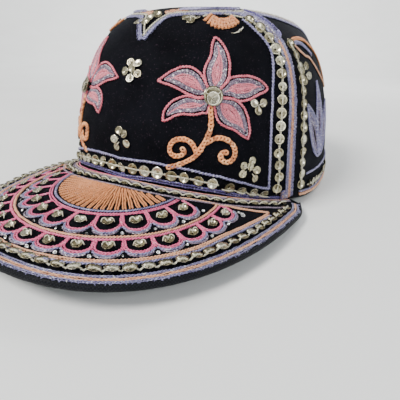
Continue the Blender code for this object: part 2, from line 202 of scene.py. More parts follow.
def peak_normal(places):
    step = 0.5
    places = np.asarray(places, float)
    sideways = peak_point(places + (step, 0)) - peak_point(places - (step, 0))
    backwards = peak_point(places + (0, step)) - peak_point(places - (0, step))
    return unit(np.cross(sideways, backwards))


class Line:
    """Line in space with a normal at each of its close points."""

    def __init__(self, points, normals):
        self.points, self.normals = points, normals
        self.reach = reach_of(points)
        self.length = self.reach[-1]

    def at(self, distances):
        """Points, normals, ways and right sides at distances along the line."""
        near = 0.15
        ahead = sample(np.clip(distances + near, 0, self.length), self.reach, self.points)
        behind = sample(np.clip(distances - near, 0, self.length), self.reach, self.points)
        normals = unit(sample(distances, self.reach, self.normals))
        ways = unit(ahead - behind)
        points = sample(distances, self.reach, self.points)
        return points, normals, ways, unit(np.cross(ways, normals))

    def beside(self, offset):
        """The same line moved to its right side."""
        ways = unit(np.gradient(self.points, axis=0))
        return Line(self.points + unit(np.cross(ways, self.normals)) * offset, self.normals)

    def part(self, start, end):
        """The stretch between two shares of the line."""
        count = max(3, int((end - start) * len(self.points)))
        points, normals, _, _ = self.at(np.linspace(start, end, count) * self.length)
        return Line(points, normals)


def on_crown(places):
    return Line(crown_point(places), crown_normal(places))


def on_peak(places):
    return Line(peak_point(places), peak_normal(places))


# Camera axes, and places measured in the photograph


def camera_axes():
    """Place of the camera and its ways across, up and back, about the crown's centre line."""
    turn, lift, roll = (math.radians(v) for v in (CAMERA_AZIMUTH, CAMERA_ELEVATION, CAMERA_ROLL))
    level = math.cos(lift)
    back = np.array([math.sin(turn) * level, -math.cos(turn) * level, math.sin(lift)])
    right = np.array([math.cos(turn), math.sin(turn), 0.0])
    up = np.cross(back, right)
    across = right * math.cos(roll) + up * math.sin(roll)
    upward = up * math.cos(roll) - right * math.sin(roll)
    return np.array(CAMERA_TARGET) + back * CAMERA_DISTANCE, across, upward, back


EYE, ACROSS, UPWARD, BACK = camera_axes()


def on_photo(points):
    """Where points about the crown's centre line appear in the photograph."""
    sight = points - EYE
    scale = FOCAL_PIXELS / -(sight @ BACK)
    return np.stack([sight @ ACROSS * scale, sight @ UPWARD * -scale], -1) + PHOTO_PIXELS / 2


def find_places(show, found, wanted, rounds):
    """Places on the crown that show at wanted points, by a few Newton steps."""
    step = 0.05
    for _ in range(rounds):
        here = show(found)
        east = (show(found + (step, 0)) - here) / step
        north = (show(found + (0, step)) - here) / step
        moves = np.stack([cross(wanted - here, north), cross(east, wanted - here)], -1)
        found = found + moves / cross(east, north)[..., None]
        found[..., 1] = np.clip(found[..., 1], 0, 88)
    return found


def crown_seen(pixels):
    """Places on the crown under points measured in the photograph."""
    pixels = np.asarray(pixels, float)
    around, climb = np.meshgrid(np.arange(-60, 120.0), np.arange(0, 86.0))
    grid = np.stack([around.ravel(), climb.ravel()], -1)
    points = crown_point(grid)
    facing = ((EYE - points) * crown_normal(grid)).sum(-1) > 0
    grid, shown = grid[facing], on_photo(points[facing])
    nearest = np.linalg.norm(shown[None] - pixels[:, None], axis=-1).argmin(axis=1)
    return find_places(lambda places: on_photo(crown_point(places)), grid[nearest], pixels, 5)


def seen(pixels, side, turn=0.0):
    """Line through points in the photograph, or through their mirror images for side -1."""
    return on_crown(smooth(mirrored(crown_seen(pixels), side) + (turn, 0)))


class Chart:
    """Flat millimetre-true map round a place on the crown: u to the wearer's left, v upwards."""

    def __init__(self, place):
        self.place = np.array(place, float)
        self.base, self.normal = crown_point(self.place), crown_normal(self.place)
        ahead = crown_point(self.place + (0.5, 0)) - crown_point(self.place - (0.5, 0))
        self.across = unit(ahead - self.normal * np.dot(ahead, self.normal))
        self.up = np.cross(self.normal, self.across)

    def flat(self, places):
        moved = crown_point(places) - self.base
        return np.stack([moved @ self.across, moved @ self.up], -1)

    def line(self, flat):
        """Line on the crown over flat points."""
        return on_crown(find_places(self.flat, np.broadcast_to(self.place, flat.shape), flat, 7))


# Meshes of many small closed shapes

WORKS = {}
NO_TRIANGLES = np.zeros((0, 3), int)


def to_metres(points):
    return np.reshape(points, (-1, 3)) * MM + (0, CENTRE_SHIFT, 0)


def add_object(name, data):
    item = bpy.data.objects.new(name, data)
    bpy.context.scene.collection.objects.link(item)
    return item


def attach(item, node=None):
    """Puts a piece on the cap's body, in place of its solid."""
    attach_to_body(item, "root")
    if node:
        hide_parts(node)


class Work:
    """Joined mesh in progress, with a tone for each point."""

    def __init__(self):
        self.verts, self.quads, self.tris, self.tones = [], [], [], []
        self.count = 0

    def add(self, verts, quads, tris, tones):
        self.verts.append(verts.reshape(-1, 3))
        self.quads.append(quads + self.count)
        self.tris.append(tris + self.count)
        self.tones.append(np.broadcast_to(tones, verts.size // 3))
        self.count += verts.size // 3

    def build(self, name, material):
        quads, tris = np.concatenate(self.quads), np.concatenate(self.tris)
        corners = np.concatenate([quads.ravel(), tris.ravel()]).astype(np.int32)
        starts = np.concatenate([np.arange(len(quads)) * 4, len(quads) * 4 + np.arange(len(tris)) * 3])
        mesh = bpy.data.meshes.new(name)
        mesh.vertices.add(self.count)
        verts = to_metres(np.concatenate(self.verts))
        mesh.vertices.foreach_set("co", verts.astype(np.float32).ravel())
        mesh.loops.add(len(corners))
        mesh.loops.foreach_set("vertex_index", corners)
        mesh.polygons.add(len(starts))
        mesh.polygons.foreach_set("loop_start", starts.astype(np.int32))
        mesh.polygons.foreach_set("use_smooth", np.ones(len(starts), bool))
        tone = mesh.attributes.new("tone", "FLOAT", "POINT")
        tone.data.foreach_set("value", np.concatenate(self.tones).astype(np.float32))
        mesh.update(calc_edges=True)
        mesh.materials.append(material)
        return add_object(name, mesh)


def work(group, thread):
    """The mesh that holds one group's stitches in one thread."""
    return WORKS.setdefault((group, thread), Work())


def tube_faces(rings, corners, closed=False):
    """Quads of a tube, and the triangles of its two caps."""
    ring = np.arange(rings if closed else rings - 1)[:, None] * corners
    corner = np.arange(corners)[None, :]
    following = (corner + 1) % corners
    above = (ring + corners) % (rings * corners)
    quads = np.stack([ring + corner, ring + following, above + following, above + corner], -1)
    if closed:
        return quads.reshape(-1, 4), NO_TRIANGLES
    fan = np.arange(1, corners - 1)
    start = np.stack([0 * fan, fan + 1, fan], -1)
    end = np.stack([0 * fan, fan, fan + 1], -1) + (rings - 1) * corners
    return quads.reshape(-1, 4), np.concatenate([start, end])


# Threads and sequins

STEPS_PER_TURN = 7
ROPE_CORNERS = 6
GRAIN_STEPS = 4
# Tone of the points in the grooves between a thread's plies: painted shade
GROOVE_PAINTED_SHADE = 0.2
WAVER = 0.10
WAVER_LENGTH = 2.4


def waver(length, distances):
    """Small sideways wander of a hand-laid thread."""
    knots = max(4, int(length / WAVER_LENGTH) + 3)
    heights = rng.standard_normal(knots) * WAVER
    return np.interp(distances, np.linspace(0, max(length, 1e-3), knots), heights)


def rope(group, thread, line, radius, pitch, hand=1, lift=0.7, flat=0.85, depth=0.9):
    """Twisted thread of two plies, laid along a line, with painted shade in the grooves between its
    plies. radius is one value, or its start and end.
    """
    steps = max(4, int(round(line.length / pitch * STEPS_PER_TURN)))
    distances = np.linspace(0, line.length, steps + 1)
    points, normals, _, sides = line.at(distances)
    points = points + sides * waver(line.length, distances)[:, None]
    thick = np.linspace(*np.broadcast_to(radius, 2), steps + 1)[:, None]
    spread = 2 * np.pi * np.arange(ROPE_CORNERS) / ROPE_CORNERS
    lobes = 1 - depth * (1 - np.abs(np.cos(spread)))
    turns = hand * 2 * np.pi * distances / pitch + rng.uniform(0, 6)
    angles = turns[:, None] + spread
    size = thick * lobes * (1 + 0.07 * rng.standard_normal(steps + 1))[:, None]
    across = (size * np.cos(angles))[..., None] * sides[:, None, :]
    upward = (size * np.sin(angles) * flat + thick * lift)[..., None] * normals[:, None, :]
    quads, tris = tube_faces(steps + 1, ROPE_CORNERS)
    grains = rng.uniform(0.25, 1, 2 * (steps // GRAIN_STEPS + 2))
    ply = np.arange(ROPE_CORNERS) >= ROPE_CORNERS // 2
    grain = np.arange(steps + 1)[:, None] // GRAIN_STEPS * 2 + ply
    # Points in the grooves between the plies take a low tone: painted shade
    tones = grains[grain] * np.where(lobes > 0.9, 1.0, GROOVE_PAINTED_SHADE)
    verts = points[:, None, :] + across + upward
    work(group, thread).add(verts, quads[:, ::-1], tris[:, ::-1], tones.ravel())


def plait(group, thread, line, width, pitch, lift=0.7):
    """Row of chain stitches seen from above: two threads twisted opposite ways, side by side."""
    for hand in (1, -1):
        rope(group, thread, line.beside(-hand * width / 4), width * 0.27, pitch, hand, lift)


LINK_POINTS = 12
LINK_CORNERS = 5


def chain(group, thread, line, width, link, thick, lift=0.55):
    """Row of open chain stitches, each a loop of thread that comes out of the one before."""
    count = max(1, int(round(line.length / link)))
    pitch = line.length / count
    turn = (2 * np.pi * np.arange(LINK_POINTS) / LINK_POINTS)[:, None]
    ring = 2 * np.pi * np.arange(LINK_CORNERS) / LINK_CORNERS
    outward = thick / 2 * np.cos(ring)
    lengthways = np.cos(turn) * (0.66 * pitch + outward)
    across = np.sin(turn) * (width / 2 * (0.82 + 0.18 * np.cos(turn)) + outward)
    height = thick * (lift + 0.35 * np.cos(turn)) + thick / 2 * np.sin(ring)
    jitter = 1 + 0.08 * rng.standard_normal(count)
    distances = ((np.arange(count) + 0.5) * pitch)[:, None, None] + lengthways
    inside = np.clip(distances, 0, line.length)
    points, normals, ways, sides = line.at(inside.ravel())
    spill = (distances - inside).reshape(-1, 1)
    sideways = (across * jitter[:, None, None]).reshape(-1, 1)
    upward = np.broadcast_to(height, distances.shape).reshape(-1, 1)
    verts = points + ways * spill + sides * sideways + normals * upward
    quads, _ = tube_faces(LINK_POINTS, LINK_CORNERS, closed=True)
    per_link = LINK_POINTS * LINK_CORNERS
    quads = (quads + (np.arange(count) * per_link)[:, None, None]).reshape(-1, 4)
    tones = np.repeat(rng.uniform(0, 1, count), per_link)
    work(group, thread).add(verts, quads, NO_TRIANGLES, tones)


def strand(group, thread, points, normal, radius, steps=5):
    """Short plain stitch through a few points in space."""
    curve = smooth(points, steps)
    line = Line(curve, np.broadcast_to(normal, curve.shape))
    rope(group, thread, line, radius, 2.2, lift=0.0, flat=1.0, depth=0.35)


CUP_SEGMENTS = 16
CUP_WALL = 0.14
CUP_RIMS = np.array([0.15, 0.40, 0.76, 1.00])
CUP_HEIGHTS = np.array([0.02, 0.06, 0.50, 1.00])


def cup(group, kind, point, normal, radius, depth, lift=0.35, tilt=0.08):
    """Cup sequin: a thin dish with a hole at its middle and flats round its side."""
    axis = unit(normal + tilt * rng.standard_normal(3))
    helper = (1.0, 0.0, 0.0) if abs(axis[0]) < 0.8 else (0.0, 1.0, 0.0)
    first = unit(np.cross(axis, helper))
    second = np.cross(axis, first)
    rims, heights = CUP_RIMS * radius, CUP_HEIGHTS * depth
    reach = np.concatenate([rims, rims[::-1]])[:, None]
    level = np.concatenate([heights, heights[::-1] - CUP_WALL])[:, None] + lift
    corner = np.arange(CUP_SEGMENTS)[:, None, None]
    angle = rng.uniform(0, 2 * np.pi) + 2 * np.pi * corner / CUP_SEGMENTS
    way = (np.cos(angle) * first + np.sin(angle) * second) * (1 - 0.025 * (corner % 2))
    quads, tris = tube_faces(CUP_SEGMENTS, len(reach), closed=True)
    work(group, kind).add(point + reach * way + level * axis, quads, tris, rng.uniform(0, 1))


# Cloth of the crown

FRONT_CURVE, TOP_CURVE, POINT_CURVE = (smooth(seam, 16) for seam in (FRONT_SEAM, TOP_SEAM, POINT_EDGE))
PANEL_ROWS = 44
FRONT_COLUMNS = 72
SIDE_COLUMNS = 28
TOP_COLUMNS = 44
BACK_ROWS = 7
SIDE_TIP_SHARE = 0.988
CREASE_ANGLE = math.radians(50)


def along(curve, share):
    """Place at a share, by length, of a curve of places on the crown."""
    reach = reach_of(crown_point(curve))
    return sample(share, reach / reach[-1], curve)


def front_panel_rows():
    edge = along(FRONT_CURVE, np.linspace(0, 1, PANEL_ROWS + 1))
    around = edge[:, :1] * np.linspace(-1, 1, FRONT_COLUMNS + 1)
    point_climb = np.interp(np.abs(around), POINT_CURVE[:, 0], POINT_CURVE[:, 1])
    return np.stack([around, edge[:, 1:] * point_climb / FRONT_SEAM[-1][1]], -1)


def side_panel_rows(side):
    shares = np.linspace(0, 1, PANEL_ROWS + 1)
    shares[-1] = SIDE_TIP_SHARE
    front = along(FRONT_CURVE, shares)[:, None, :]
    back = along(TOP_CURVE, shares)[:, None, :]
    rows = mirrored(front + (back - front) * np.linspace(0, 1, SIDE_COLUMNS + 1)[None, :, None], side)
    return rows if side > 0 else rows[:, ::-1]


def top_panel_rows():
    """Rows across the top panel, from its back edge over the top to its front point."""
    climbs = np.linspace(0, 90, 361)
    profile = reach_of(crown_point(np.stack([np.full_like(climbs, 90.0), climbs], -1)))
    down = 1 - profile / profile[-1]
    front = front_panel_rows()[-1]
    seam = along(TOP_CURVE, np.linspace(1, 0, PANEL_ROWS * 2 + 1))
    edge = np.concatenate([front[front[:, 0] >= 0], seam[1:]])
    shares = np.linspace(-1, 1, TOP_COLUMNS + 1)
    ends = plan(np.interp(edge[:, 1], climbs, down), np.radians(edge[:, 0]))
    across = np.stack([ends[:, :1] * shares, ends[:, 1:] + 0 * shares], -1)
    half_back = math.radians(180 - TOP_SEAM[0][0])
    arc = np.stack([np.sin(half_back * shares), np.cos(half_back * shares)], -1)
    steps = np.linspace(0, 1, BACK_ROWS + 1)[1:, None, None]
    flat = np.concatenate([across, across[-1] + (arc - across[-1]) * steps])[::-1]
    around = np.degrees(np.arctan2(flat[..., 0], -flat[..., 1]))
    return np.stack([around, np.interp(-np.linalg.norm(flat, axis=-1), -down, climbs)], -1)


def grid_shell(name, node, outer, inner, materials):
    """Closed velvet shell between two grids of points. The inner side takes the second material."""
    index = np.arange(outer.size // 3).reshape(outer.shape[:2])
    corners = (index[:-1, :-1], index[:-1, 1:], index[1:, 1:], index[1:, :-1])
    quads = np.stack(corners, -1).reshape(-1, 4)
    border = np.concatenate([index[0, :-1], index[:-1, -1], index[-1, :0:-1], index[:0:-1, 0]])
    following = np.roll(border, -1)
    rim = np.stack([border, border + index.size, following + index.size, following], -1)
    faces = np.concatenate([quads, quads[:, ::-1] + index.size, rim])
    mesh = bpy.data.meshes.new(name)
    mesh.from_pydata(to_metres([outer, inner]).tolist(), [], faces.tolist())
    for material in materials:
        mesh.materials.append(material)
    slots = np.zeros(len(faces), np.int32)
    slots[len(quads) : 2 * len(quads)] = 1
    mesh.polygons.foreach_set("material_index", slots)
    shell = bmesh.new()
    shell.from_mesh(mesh)
    bmesh.ops.remove_doubles(shell, verts=shell.verts, dist=1e-6)
    bmesh.ops.recalc_face_normals(shell, faces=shell.faces)
    for face in shell.faces:
        face.smooth = True
    for edge in shell.edges:
        edge.smooth = edge.calc_face_angle(0) < CREASE_ANGLE
    shell.to_mesh(mesh)
    shell.free()
    attach(add_object(name, mesh), node)


def crown_cloth(name, node, rows, materials):
    """Panel whose borders stop short of the seams, apart from the free lower edge."""
    points = crown_point(rows)
    outer = points.copy()
    outer[:, 0] += unit(points[:, 1] - points[:, 0]) * SEAM_INSET
    outer[:, -1] += unit(points[:, -2] - points[:, -1]) * SEAM_INSET
    outer[-1] += unit(points[-2] - points[-1]) * SEAM_INSET
    inner = outer - crown_normal(rows) * CLOTH
    inner[..., 2] = np.where(rows[..., 1] <= 0.001, outer[..., 2], inner[..., 2])
    grid_shell(name, node, outer, inner, materials)


# The peak's plate and binding

PLATE_STATIONS = 160
PLATE_ROWS = 44
BINDING_STATIONS = 420
BINDING_BEND = 0.62
BINDING_BOW = 70
BINDING_SLOT = 0.2
BINDING_EASE = 26
BINDING_END_WIDTH = 0.62
PUCKER = 0.035
PUCKER_TURNS = 210


def peak_edge(turns):
    """Outer edge seen from above, from -90 at the right temple to 90 at the left one."""
    angle = np.radians(np.abs(turns))
    root_x, root_y = plan(rim_radius(math.radians(PEAK_ROOT_ANGLE)), math.radians(PEAK_ROOT_ANGLE))
    tip_y = -(CROWN_HALF_LENGTH + PEAK_REACH)
    power = 2 / PEAK_PLAN_POWER
    x = PEAK_HALF_WIDTH * np.sin(angle) ** power
    y = root_y + (tip_y - root_y) * np.maximum(0.0, np.cos(angle)) ** power
    pull = np.maximum(0.0, (np.abs(turns) - CORNER_START) / (90 - CORNER_START)) ** 2 * CORNER_PULL
    return np.stack([np.copysign(x + (root_x - x) * pull, turns), y], -1)


def inset_edge(distance, start=0.0, end=1.0, count=600):
    """Places on the peak along its outer edge, moved in by a distance."""
    fine = peak_edge(np.linspace(-90, 90, 1201))
    reach = reach_of(fine)
    edge = sample(np.linspace(start, end, count), reach / reach[-1], fine)
    ways = unit(np.gradient(edge, axis=0))
    return edge + np.stack([-ways[:, 1], ways[:, 0]], -1) * distance


def peak_cloth(materials):
    """Velvet-covered plate, from under the front panel out to the slot in the binding."""
    outer = inset_edge(BINDING_WALL + BINDING_GAP, count=PLATE_STATIONS + 1)
    angle = np.radians(np.linspace(-PEAK_ROOT_ANGLE, PEAK_ROOT_ANGLE, PLATE_STATIONS + 1))
    root = plan(rim_radius(angle) - CLOTH, angle)
    shares = np.linspace(0, 1, PLATE_ROWS + 1)[None, :, None]
    places = root[:, None, :] + (outer - root)[:, None, :] * shares
    upper = peak_point(places)
    grid_shell("peak_velvet", "peak", upper, upper - peak_normal(places) * PEAK_THICKNESS, materials)


def binding_outline():
    """Rounded section of the folded strip, about the plate's middle: inwards from the edge, and up."""
    half = PEAK_THICKNESS / 2 + BINDING_GAP + BINDING_WALL
    bend = half * BINDING_BEND
    flat = np.linspace(-BINDING_LIP, -bend, 6)
    level = np.full(6, half)
    bow = np.radians(np.linspace(BINDING_BOW, -BINDING_BOW, 9))
    slot, inner = -BINDING_WALL - BINDING_SLOT, half - BINDING_WALL
    walls = (-BINDING_LIP, slot, slot, -BINDING_LIP)
    across = np.concatenate([flat, bend * (np.cos(bow) - 1), flat[::-1], walls])
    up = np.concatenate([level, half * np.sin(bow), -level, (-inner, -inner, inner, inner)])
    return np.stack([across, up], -1)


def binding_cloth(material):
    """Puckered strip round the peak's edge, with a UV map in centimetres for its weave."""
    line = on_peak(inset_edge(0))
    station = np.arange(BINDING_STATIONS)
    reach = np.linspace(0, line.length, BINDING_STATIONS)
    points, normals, _, sides = line.at(reach)
    section = binding_outline()
    ease = np.minimum(1, np.minimum(station, station[::-1]) / BINDING_EASE)
    wave = np.sin(np.linspace(0, PUCKER_TURNS, BINDING_STATIONS))
    pucker = wave * rng.uniform(0.4, 1, BINDING_STATIONS)
    width = BINDING_END_WIDTH + (1 - BINDING_END_WIDTH) * ease
    across = section[:, 0] * width[:, None]
    upward = section[:, 1] * (1 + PUCKER * pucker)[:, None] - PEAK_THICKNESS / 2
    verts = points[:, None] + sides[:, None] * across[..., None] + normals[:, None] * upward[..., None]
    made = Work()
    made.add(verts, *tube_faces(BINDING_STATIONS, len(section)), 0.5)
    item = made.build("peak_binding_cloth", material)
    weave = np.stack([np.repeat(reach, len(section)), np.tile(reach_of(section), BINDING_STATIONS)], -1)
    index = np.zeros(len(item.data.loops), np.int32)
    item.data.loops.foreach_get("vertex_index", index)
    layer = item.data.uv_layers.new(name="weave")
    layer.data.foreach_set("uv", (weave[index] / 10).astype(np.float32).ravel())
    attach(item, "peak_binding")


# Strings and groups of cup sequins

BIG_CUP = 2.8
SMALL_CUP = 2.15
CUP_DEPTH = 1.15
STRING_PITCH = 6.8
THREAD_RADIUS = 0.42
COUCH_STEP = 0.3
ARCH_RISE = 0.5
ARCH_FOOT = 0.35
LEFT_ARCH_RETURN = 1.5
RIGHT_ARCH_RETURN = 0.4
SMALL_CUP_DEPTH = 0.42
HOLDING_STITCH = 0.27
CROWN_MIDDLE = (0, 0, 60)


def couched(group, line, centres, arch):
    """Thread along a string. An arched one goes up over each cup and down between them."""
    distances = np.arange(0, line.length, COUCH_STEP)
    points, normals, _, sides = line.at(distances)
    number = np.interp(distances, centres, np.arange(len(centres)))
    between = (1 - np.abs(np.cos(number * np.pi)))[:, None]
    if arch:
        height = (CUP_DEPTH + ARCH_RISE) * (1 - between) + ARCH_FOOT * between
        away = arch * (1 - (LEFT_ARCH_RETURN if arch > 0 else RIGHT_ARCH_RETURN) * between)
    else:
        height = CUP_DEPTH * (0.75 + 0.2 * between) + 0.2
        away = 0 * between
    line = Line(points + normals * height - sides * away, normals)
    radius = THREAD_RADIUS * (1.05 if arch else 1.0)
    rope(group, "cream", line, radius, 2.4, lift=0.2, flat=1.0, depth=0.7)


def knots(group, line, centres):
    """Thick stitch in each gap of a string."""
    for middle in (centres[1:] + centres[:-1]) / 2:
        points, normals, _, _ = line.at(middle + np.linspace(-0.8, 0.8, 5))
        rope(group, "cream", Line(points + normals * CUP_DEPTH * 0.7, normals), 0.62, 2.4, lift=0.2)


def sequin_string(group, line, pitch=STRING_PITCH, radius=BIG_CUP, arch=0.0, tilt=0.08, lean=0.0):
    """String of cups, which lean towards the line's right side by a share."""
    count = max(1, int(round(line.length / pitch)))
    centres = (np.arange(count) + 0.5) * line.length / count
    points, normals, _, sides = line.at(centres)
    for point, normal, side in zip(points, normals, sides):
        size = radius * (1 + 0.05 * rng.standard_normal())
        lift = 0.35 + abs(lean) * radius * 0.4
        # Cups of an arched string take the darker sequin material: painted shade
        kind = "sequin_dull" if arch else "sequin"
        cup(group, kind, point, unit(normal + side * lean), size, CUP_DEPTH, lift, tilt)
    couched(group, line, centres, arch)
    if not arch:
        knots(group, line, centres)


def cup_cluster(group, places, radius=SMALL_CUP, lean=0.0, side=1):
    """Small sequins sewn down one by one, each with a stitch from its hole over its rim."""
    front = unit((EYE - CROWN_MIDDLE) * (side, 1, 1)) * lean
    points, normals = crown_point(places), crown_normal(places)
    middle = points.mean(axis=0)
    for number, (point, normal) in enumerate(zip(points, normals)):
        lift = 0.3 + 0.3 * (number % 2)
        cup(group, "sequin", point, unit(normal + front), radius, SMALL_CUP_DEPTH, lift + lean, tilt=0.12)
        inward = unit(middle - point + normal * 0.01)
        over = point + inward * radius * 0.8 + normal * (lift + 0.62)
        end = point + inward * radius * 1.25 + normal * 0.25
        strand(group, "cream", [point + normal * (lift + 0.15), over, end], normal, HOLDING_STITCH)


SEQUIN_GROUPS = (  # photo points, and whether the other half has the same group
    (((131.2, 62.6), (138.7, 64), (125.8, 71.2), (132.9, 68.3), (137.8, 74), (130.4, 78.9)), False),
    (((119.4, 130.3), (125.1, 134.2), (114.8, 138.7), (127.4, 143.3), (117.5, 146.4)), False),
    (((254, 103.5), (262.5, 102.8), (257.7, 111.3)), True),
    (((251.8, 160.6), (243.1, 165.6), (250, 166.4), (256.3, 169.8), (242.2, 173.9), (253.8, 178)), True),
    (((186, 18.5), (190.5, 22), (191.5, 16.5), (196.5, 19.5)), False),
)


def clusters():
    for pixels, both in SEQUIN_GROUPS:
        for side in (1, -1) if both else (1,):
            cup_cluster("front_sequin_groups", mirrored(crown_seen(pixels), side))


# Flowers and stems, from points in the photograph

TWIN_TURNS = ((0, -3.0), (16, -2.5), (24, 1.3), (34, 5.0), (42, 5.0), (56, 2.5))  # climb, turn
FLOWER_MIDDLE = (212.5, 97.0)
PETALS = (  # one side and the other, from the valleys to the shared tip
    (
        ((206.5, 85), (204.6, 78), (204.4, 71), (206.8, 64), (210, 57.5), (211.6, 51), (212.2, 44),
         (214.6, 37.8)),
        ((225.5, 83), (228.3, 77.5), (229.4, 70), (229.2, 62), (227.3, 54), (224.2, 47.5), (220, 42),
         (214.6, 37.8)),
    ),
    (
        ((226.5, 83), (229, 79), (234.5, 76.8), (241, 76.3), (249, 76.4), (256, 78.6), (262, 82.5),
         (267, 89)),
        ((231.5, 98.5), (237, 100.8), (243, 101), (249, 99.7), (254, 97), (259, 94.2), (263, 92.3),
         (267, 89)),
    ),
    (
        ((233, 99.5), (238.5, 102.5), (243, 107.5), (246, 113.5), (248, 120), (249.3, 127), (249.5, 133),
         (247.5, 139.3)),
        ((214.8, 111.5), (216.5, 117.5), (220, 123), (225.5, 127), (231.5, 129), (237, 132.3),
         (242, 136.2), (247.5, 139.3)),
    ),
    (
        ((206.8, 112), (202, 113.3), (195, 114.6), (188, 114.6), (181, 114.6), (174, 116.5),
         (168, 119.6), (162.8, 121.3)),
        ((197.5, 98.5), (190, 96.6), (184, 96.6), (178, 98.5), (172, 102), (167, 107.5), (164, 114),
         (162.8, 121.3)),
    ),
    (
        ((196.5, 97.5), (190, 95.2), (183.5, 92), (177, 88.5), (171, 85.5), (165, 83.7), (158, 81)),
        ((206, 84), (202.5, 77.5), (198.5, 72), (193, 68.5), (186.5, 67), (179.5, 68), (171, 72),
         (158, 81)),
    ),
)
PETAL_FILL = (  # thread, distance in from the outline, radius
    ("silver", 1.65, 0.50),
    ("silver", 2.45, 0.46),
    ("silver", 3.15, 0.40),
    ("petal_pink", 3.9, 0.46),
    ("petal_pink", 4.7, 0.44),
    ("petal_pink", 5.5, 0.42),
    ("petal_pink", 6.3, 0.42),
)
PETAL_STEPS = 60
FILL_START = 0.10
FILL_END = 0.90
FILL_ROOT = 0.30
BACK_CUP = (4.8, 1.4)  # radius, depth
FRONT_CUP = (3.3, 1.3)
STEM = (
    (210.5, 107), (210.4, 113), (211, 120), (210.3, 129), (208, 135.5), (204.5, 142), (200, 150),
    (194.5, 156.5), (187.5, 160.8), (178, 164.8), (168, 167.3),
)
LEFT_CURL = (
    (196.5, 154), (193.6, 146), (188.6, 140.8), (181.7, 139.0), (174.3, 140.6), (170.2, 146.2),
    (170.6, 152.4), (175, 155.8), (181, 155.3), (184.4, 151.6), (182, 148.2),
)
RIGHT_CURL = (
    (205.5, 144), (212.4, 139.4), (220, 138.0), (227.7, 140.4), (233.2, 146.2), (234.6, 152.8),
    (232.2, 159.2), (227.2, 162.2), (222, 160.4), (220.3, 156), (222.6, 152.4), (226.8, 152.6),
)
CHAIN_WIDTH = 1.95
CHAIN_LINK = 1.8
CHAIN_THREAD = 1.1


def twin(pixels, side):
    """Places of a left motif, or of the right one, a mirror image that leans inwards."""
    places = mirrored(crown_seen(pixels), side)
    turn = np.interp(places[:, 1], *np.transpose(TWIN_TURNS)) if side < 0 else 0 * places[:, 1]
    return places + np.stack([turn, 0 * turn], -1)


def fill_loop(first, second, inset):
    """Leaf-shaped loop that stays a distance inside both sides of a petal."""
    middle, half = (first + second) / 2, (first - second) / 2
    width = np.maximum(np.linalg.norm(half, axis=1), 1e-3)
    share = np.linspace(0, 1, PETAL_STEPS)
    inside = (width > inset + 0.25) & (share > FILL_START) & (share < FILL_END)
    left = (half * (1 - inset / width)[:, None])[inside]
    middle = middle[inside]
    return np.concatenate([middle + left, (middle - left)[::-1], (middle + left)[:1]])


def petal(chart, group, one, other):
    """Twisted outline from the middle over the tip and back, and rows of thread that follow it."""
    sides = [smooth(np.concatenate([side[:1] * 0.4, side])) for side in (one, other)]
    outline = np.concatenate([sides[0], sides[1][::-1][1:]])
    rope(group, "pink", chart.line(outline), 0.74, 2.9)
    sides = [smooth(np.concatenate([side[:1] * FILL_ROOT, side])) for side in (one, other)]
    first, second = (even(side, PETAL_STEPS) for side in sides)
    for thread, inset, radius in PETAL_FILL:
        loop = fill_loop(first, second, inset)
        if len(loop) > 12:
            rope(group, thread, chart.line(loop), radius, 2.2)
    vein = (first + second)[8:50] / 2
    rope(group, "petal_pink", chart.line(vein), 0.5, 2.4, lift=0.5)


def flower(side, word):
    """Five petals round two stacked cups, the left flower as measured, the right its twin."""
    group = f"flower_{word}"
    chart = Chart(twin([FLOWER_MIDDLE], side)[0])
    for sides in PETALS:
        petal(chart, group, *(chart.flat(twin(pixels, side)) for pixels in sides))
    point, normal = chart.base, chart.normal
    # The back cup, under the front one, takes the darker sequin material: painted shade
    cup(group, "sequin_dull", point, normal, *BACK_CUP, lift=1.1, tilt=0.05)
    above = point - chart.up * 1.1 - chart.across * 0.3 + normal * 0.8
    cup(group, "sequin_bright", above, normal, *FRONT_CUP, lift=1.3, tilt=0.1)
    for turn in (0.6, 2.7, 4.4):
        way = chart.across * math.cos(turn) + chart.up * math.sin(turn)
        over = above + normal * 2.8 + way * 2.0
        end = point + normal * 2.2 + way * 4.4
        strand(group, "cream", [above + normal * 1.5, over, end], normal, 0.2, steps=6)


def stem(side, word):
    """Orange stem in chain stitch with a curl to either side of it."""
    for pixels in (STEM, LEFT_CURL, RIGHT_CURL):
        line = on_crown(smooth(twin(pixels, side)))
        chain(f"stem_{word}", "orange", line, CHAIN_WIDTH, CHAIN_LINK, CHAIN_THREAD)


# Front panel's borders, from points in the photograph

INNER_FOOT = (
    (122, 158.3), (135, 160), (150, 162), (165, 164.8), (180, 167.8), (199, 172), (212, 175),
    (225, 178), (237, 181.3), (248, 184), (258, 186.8), (268, 188.6),
)
INNER_COLUMN = (
    (268.3, 188.6), (268.8, 175), (269.4, 160), (270, 145), (270.5, 130), (271.4, 110), (272.2, 90),
    (272.5, 70), (272, 60), (269.5, 50), (263, 40), (253.5, 30), (242, 20.5),
)
LOWER_FOOT = (
    (122, 174.4), (130, 175.7), (150, 178.2), (170, 181.7), (190, 185.3), (203, 187.4), (222, 190.8),
    (241, 194.3), (260, 196.8), (279, 196.6),
)
BORDER_COLUMN = (
    (274.6, 193.5), (276.4, 186), (277.4, 178), (277.8, 166), (277.5, 153), (278.4, 139.4),
    (279.6, 125.3), (280.2, 112.4), (281, 99.8), (280.9, 86.3), (280.6, 73), (279.3, 62), (276, 52),
    (270.5, 42.5), (264.5, 34.5), (257.5, 28.5), (250, 23), (243.5, 18.6),
)
BORDER_FOOT = ((0, 5.4), (9, 5.7), (20, 5.8), (28, 5.1), (38, 3.8), (45.6, 3.1))  # round, climb
ARCHES_START = 29
ARCHES_DROP = -1.7
BORDER_LEAN = 0.42


def both_halves(half):
    """Line across the front from its left half, which starts near the middle."""
    half = np.asarray(half, float)
    start = 1 if abs(half[0, 0]) < 0.6 else 0
    return smooth(np.concatenate([mirrored(half[::-1][: len(half) - start], -1), half]))


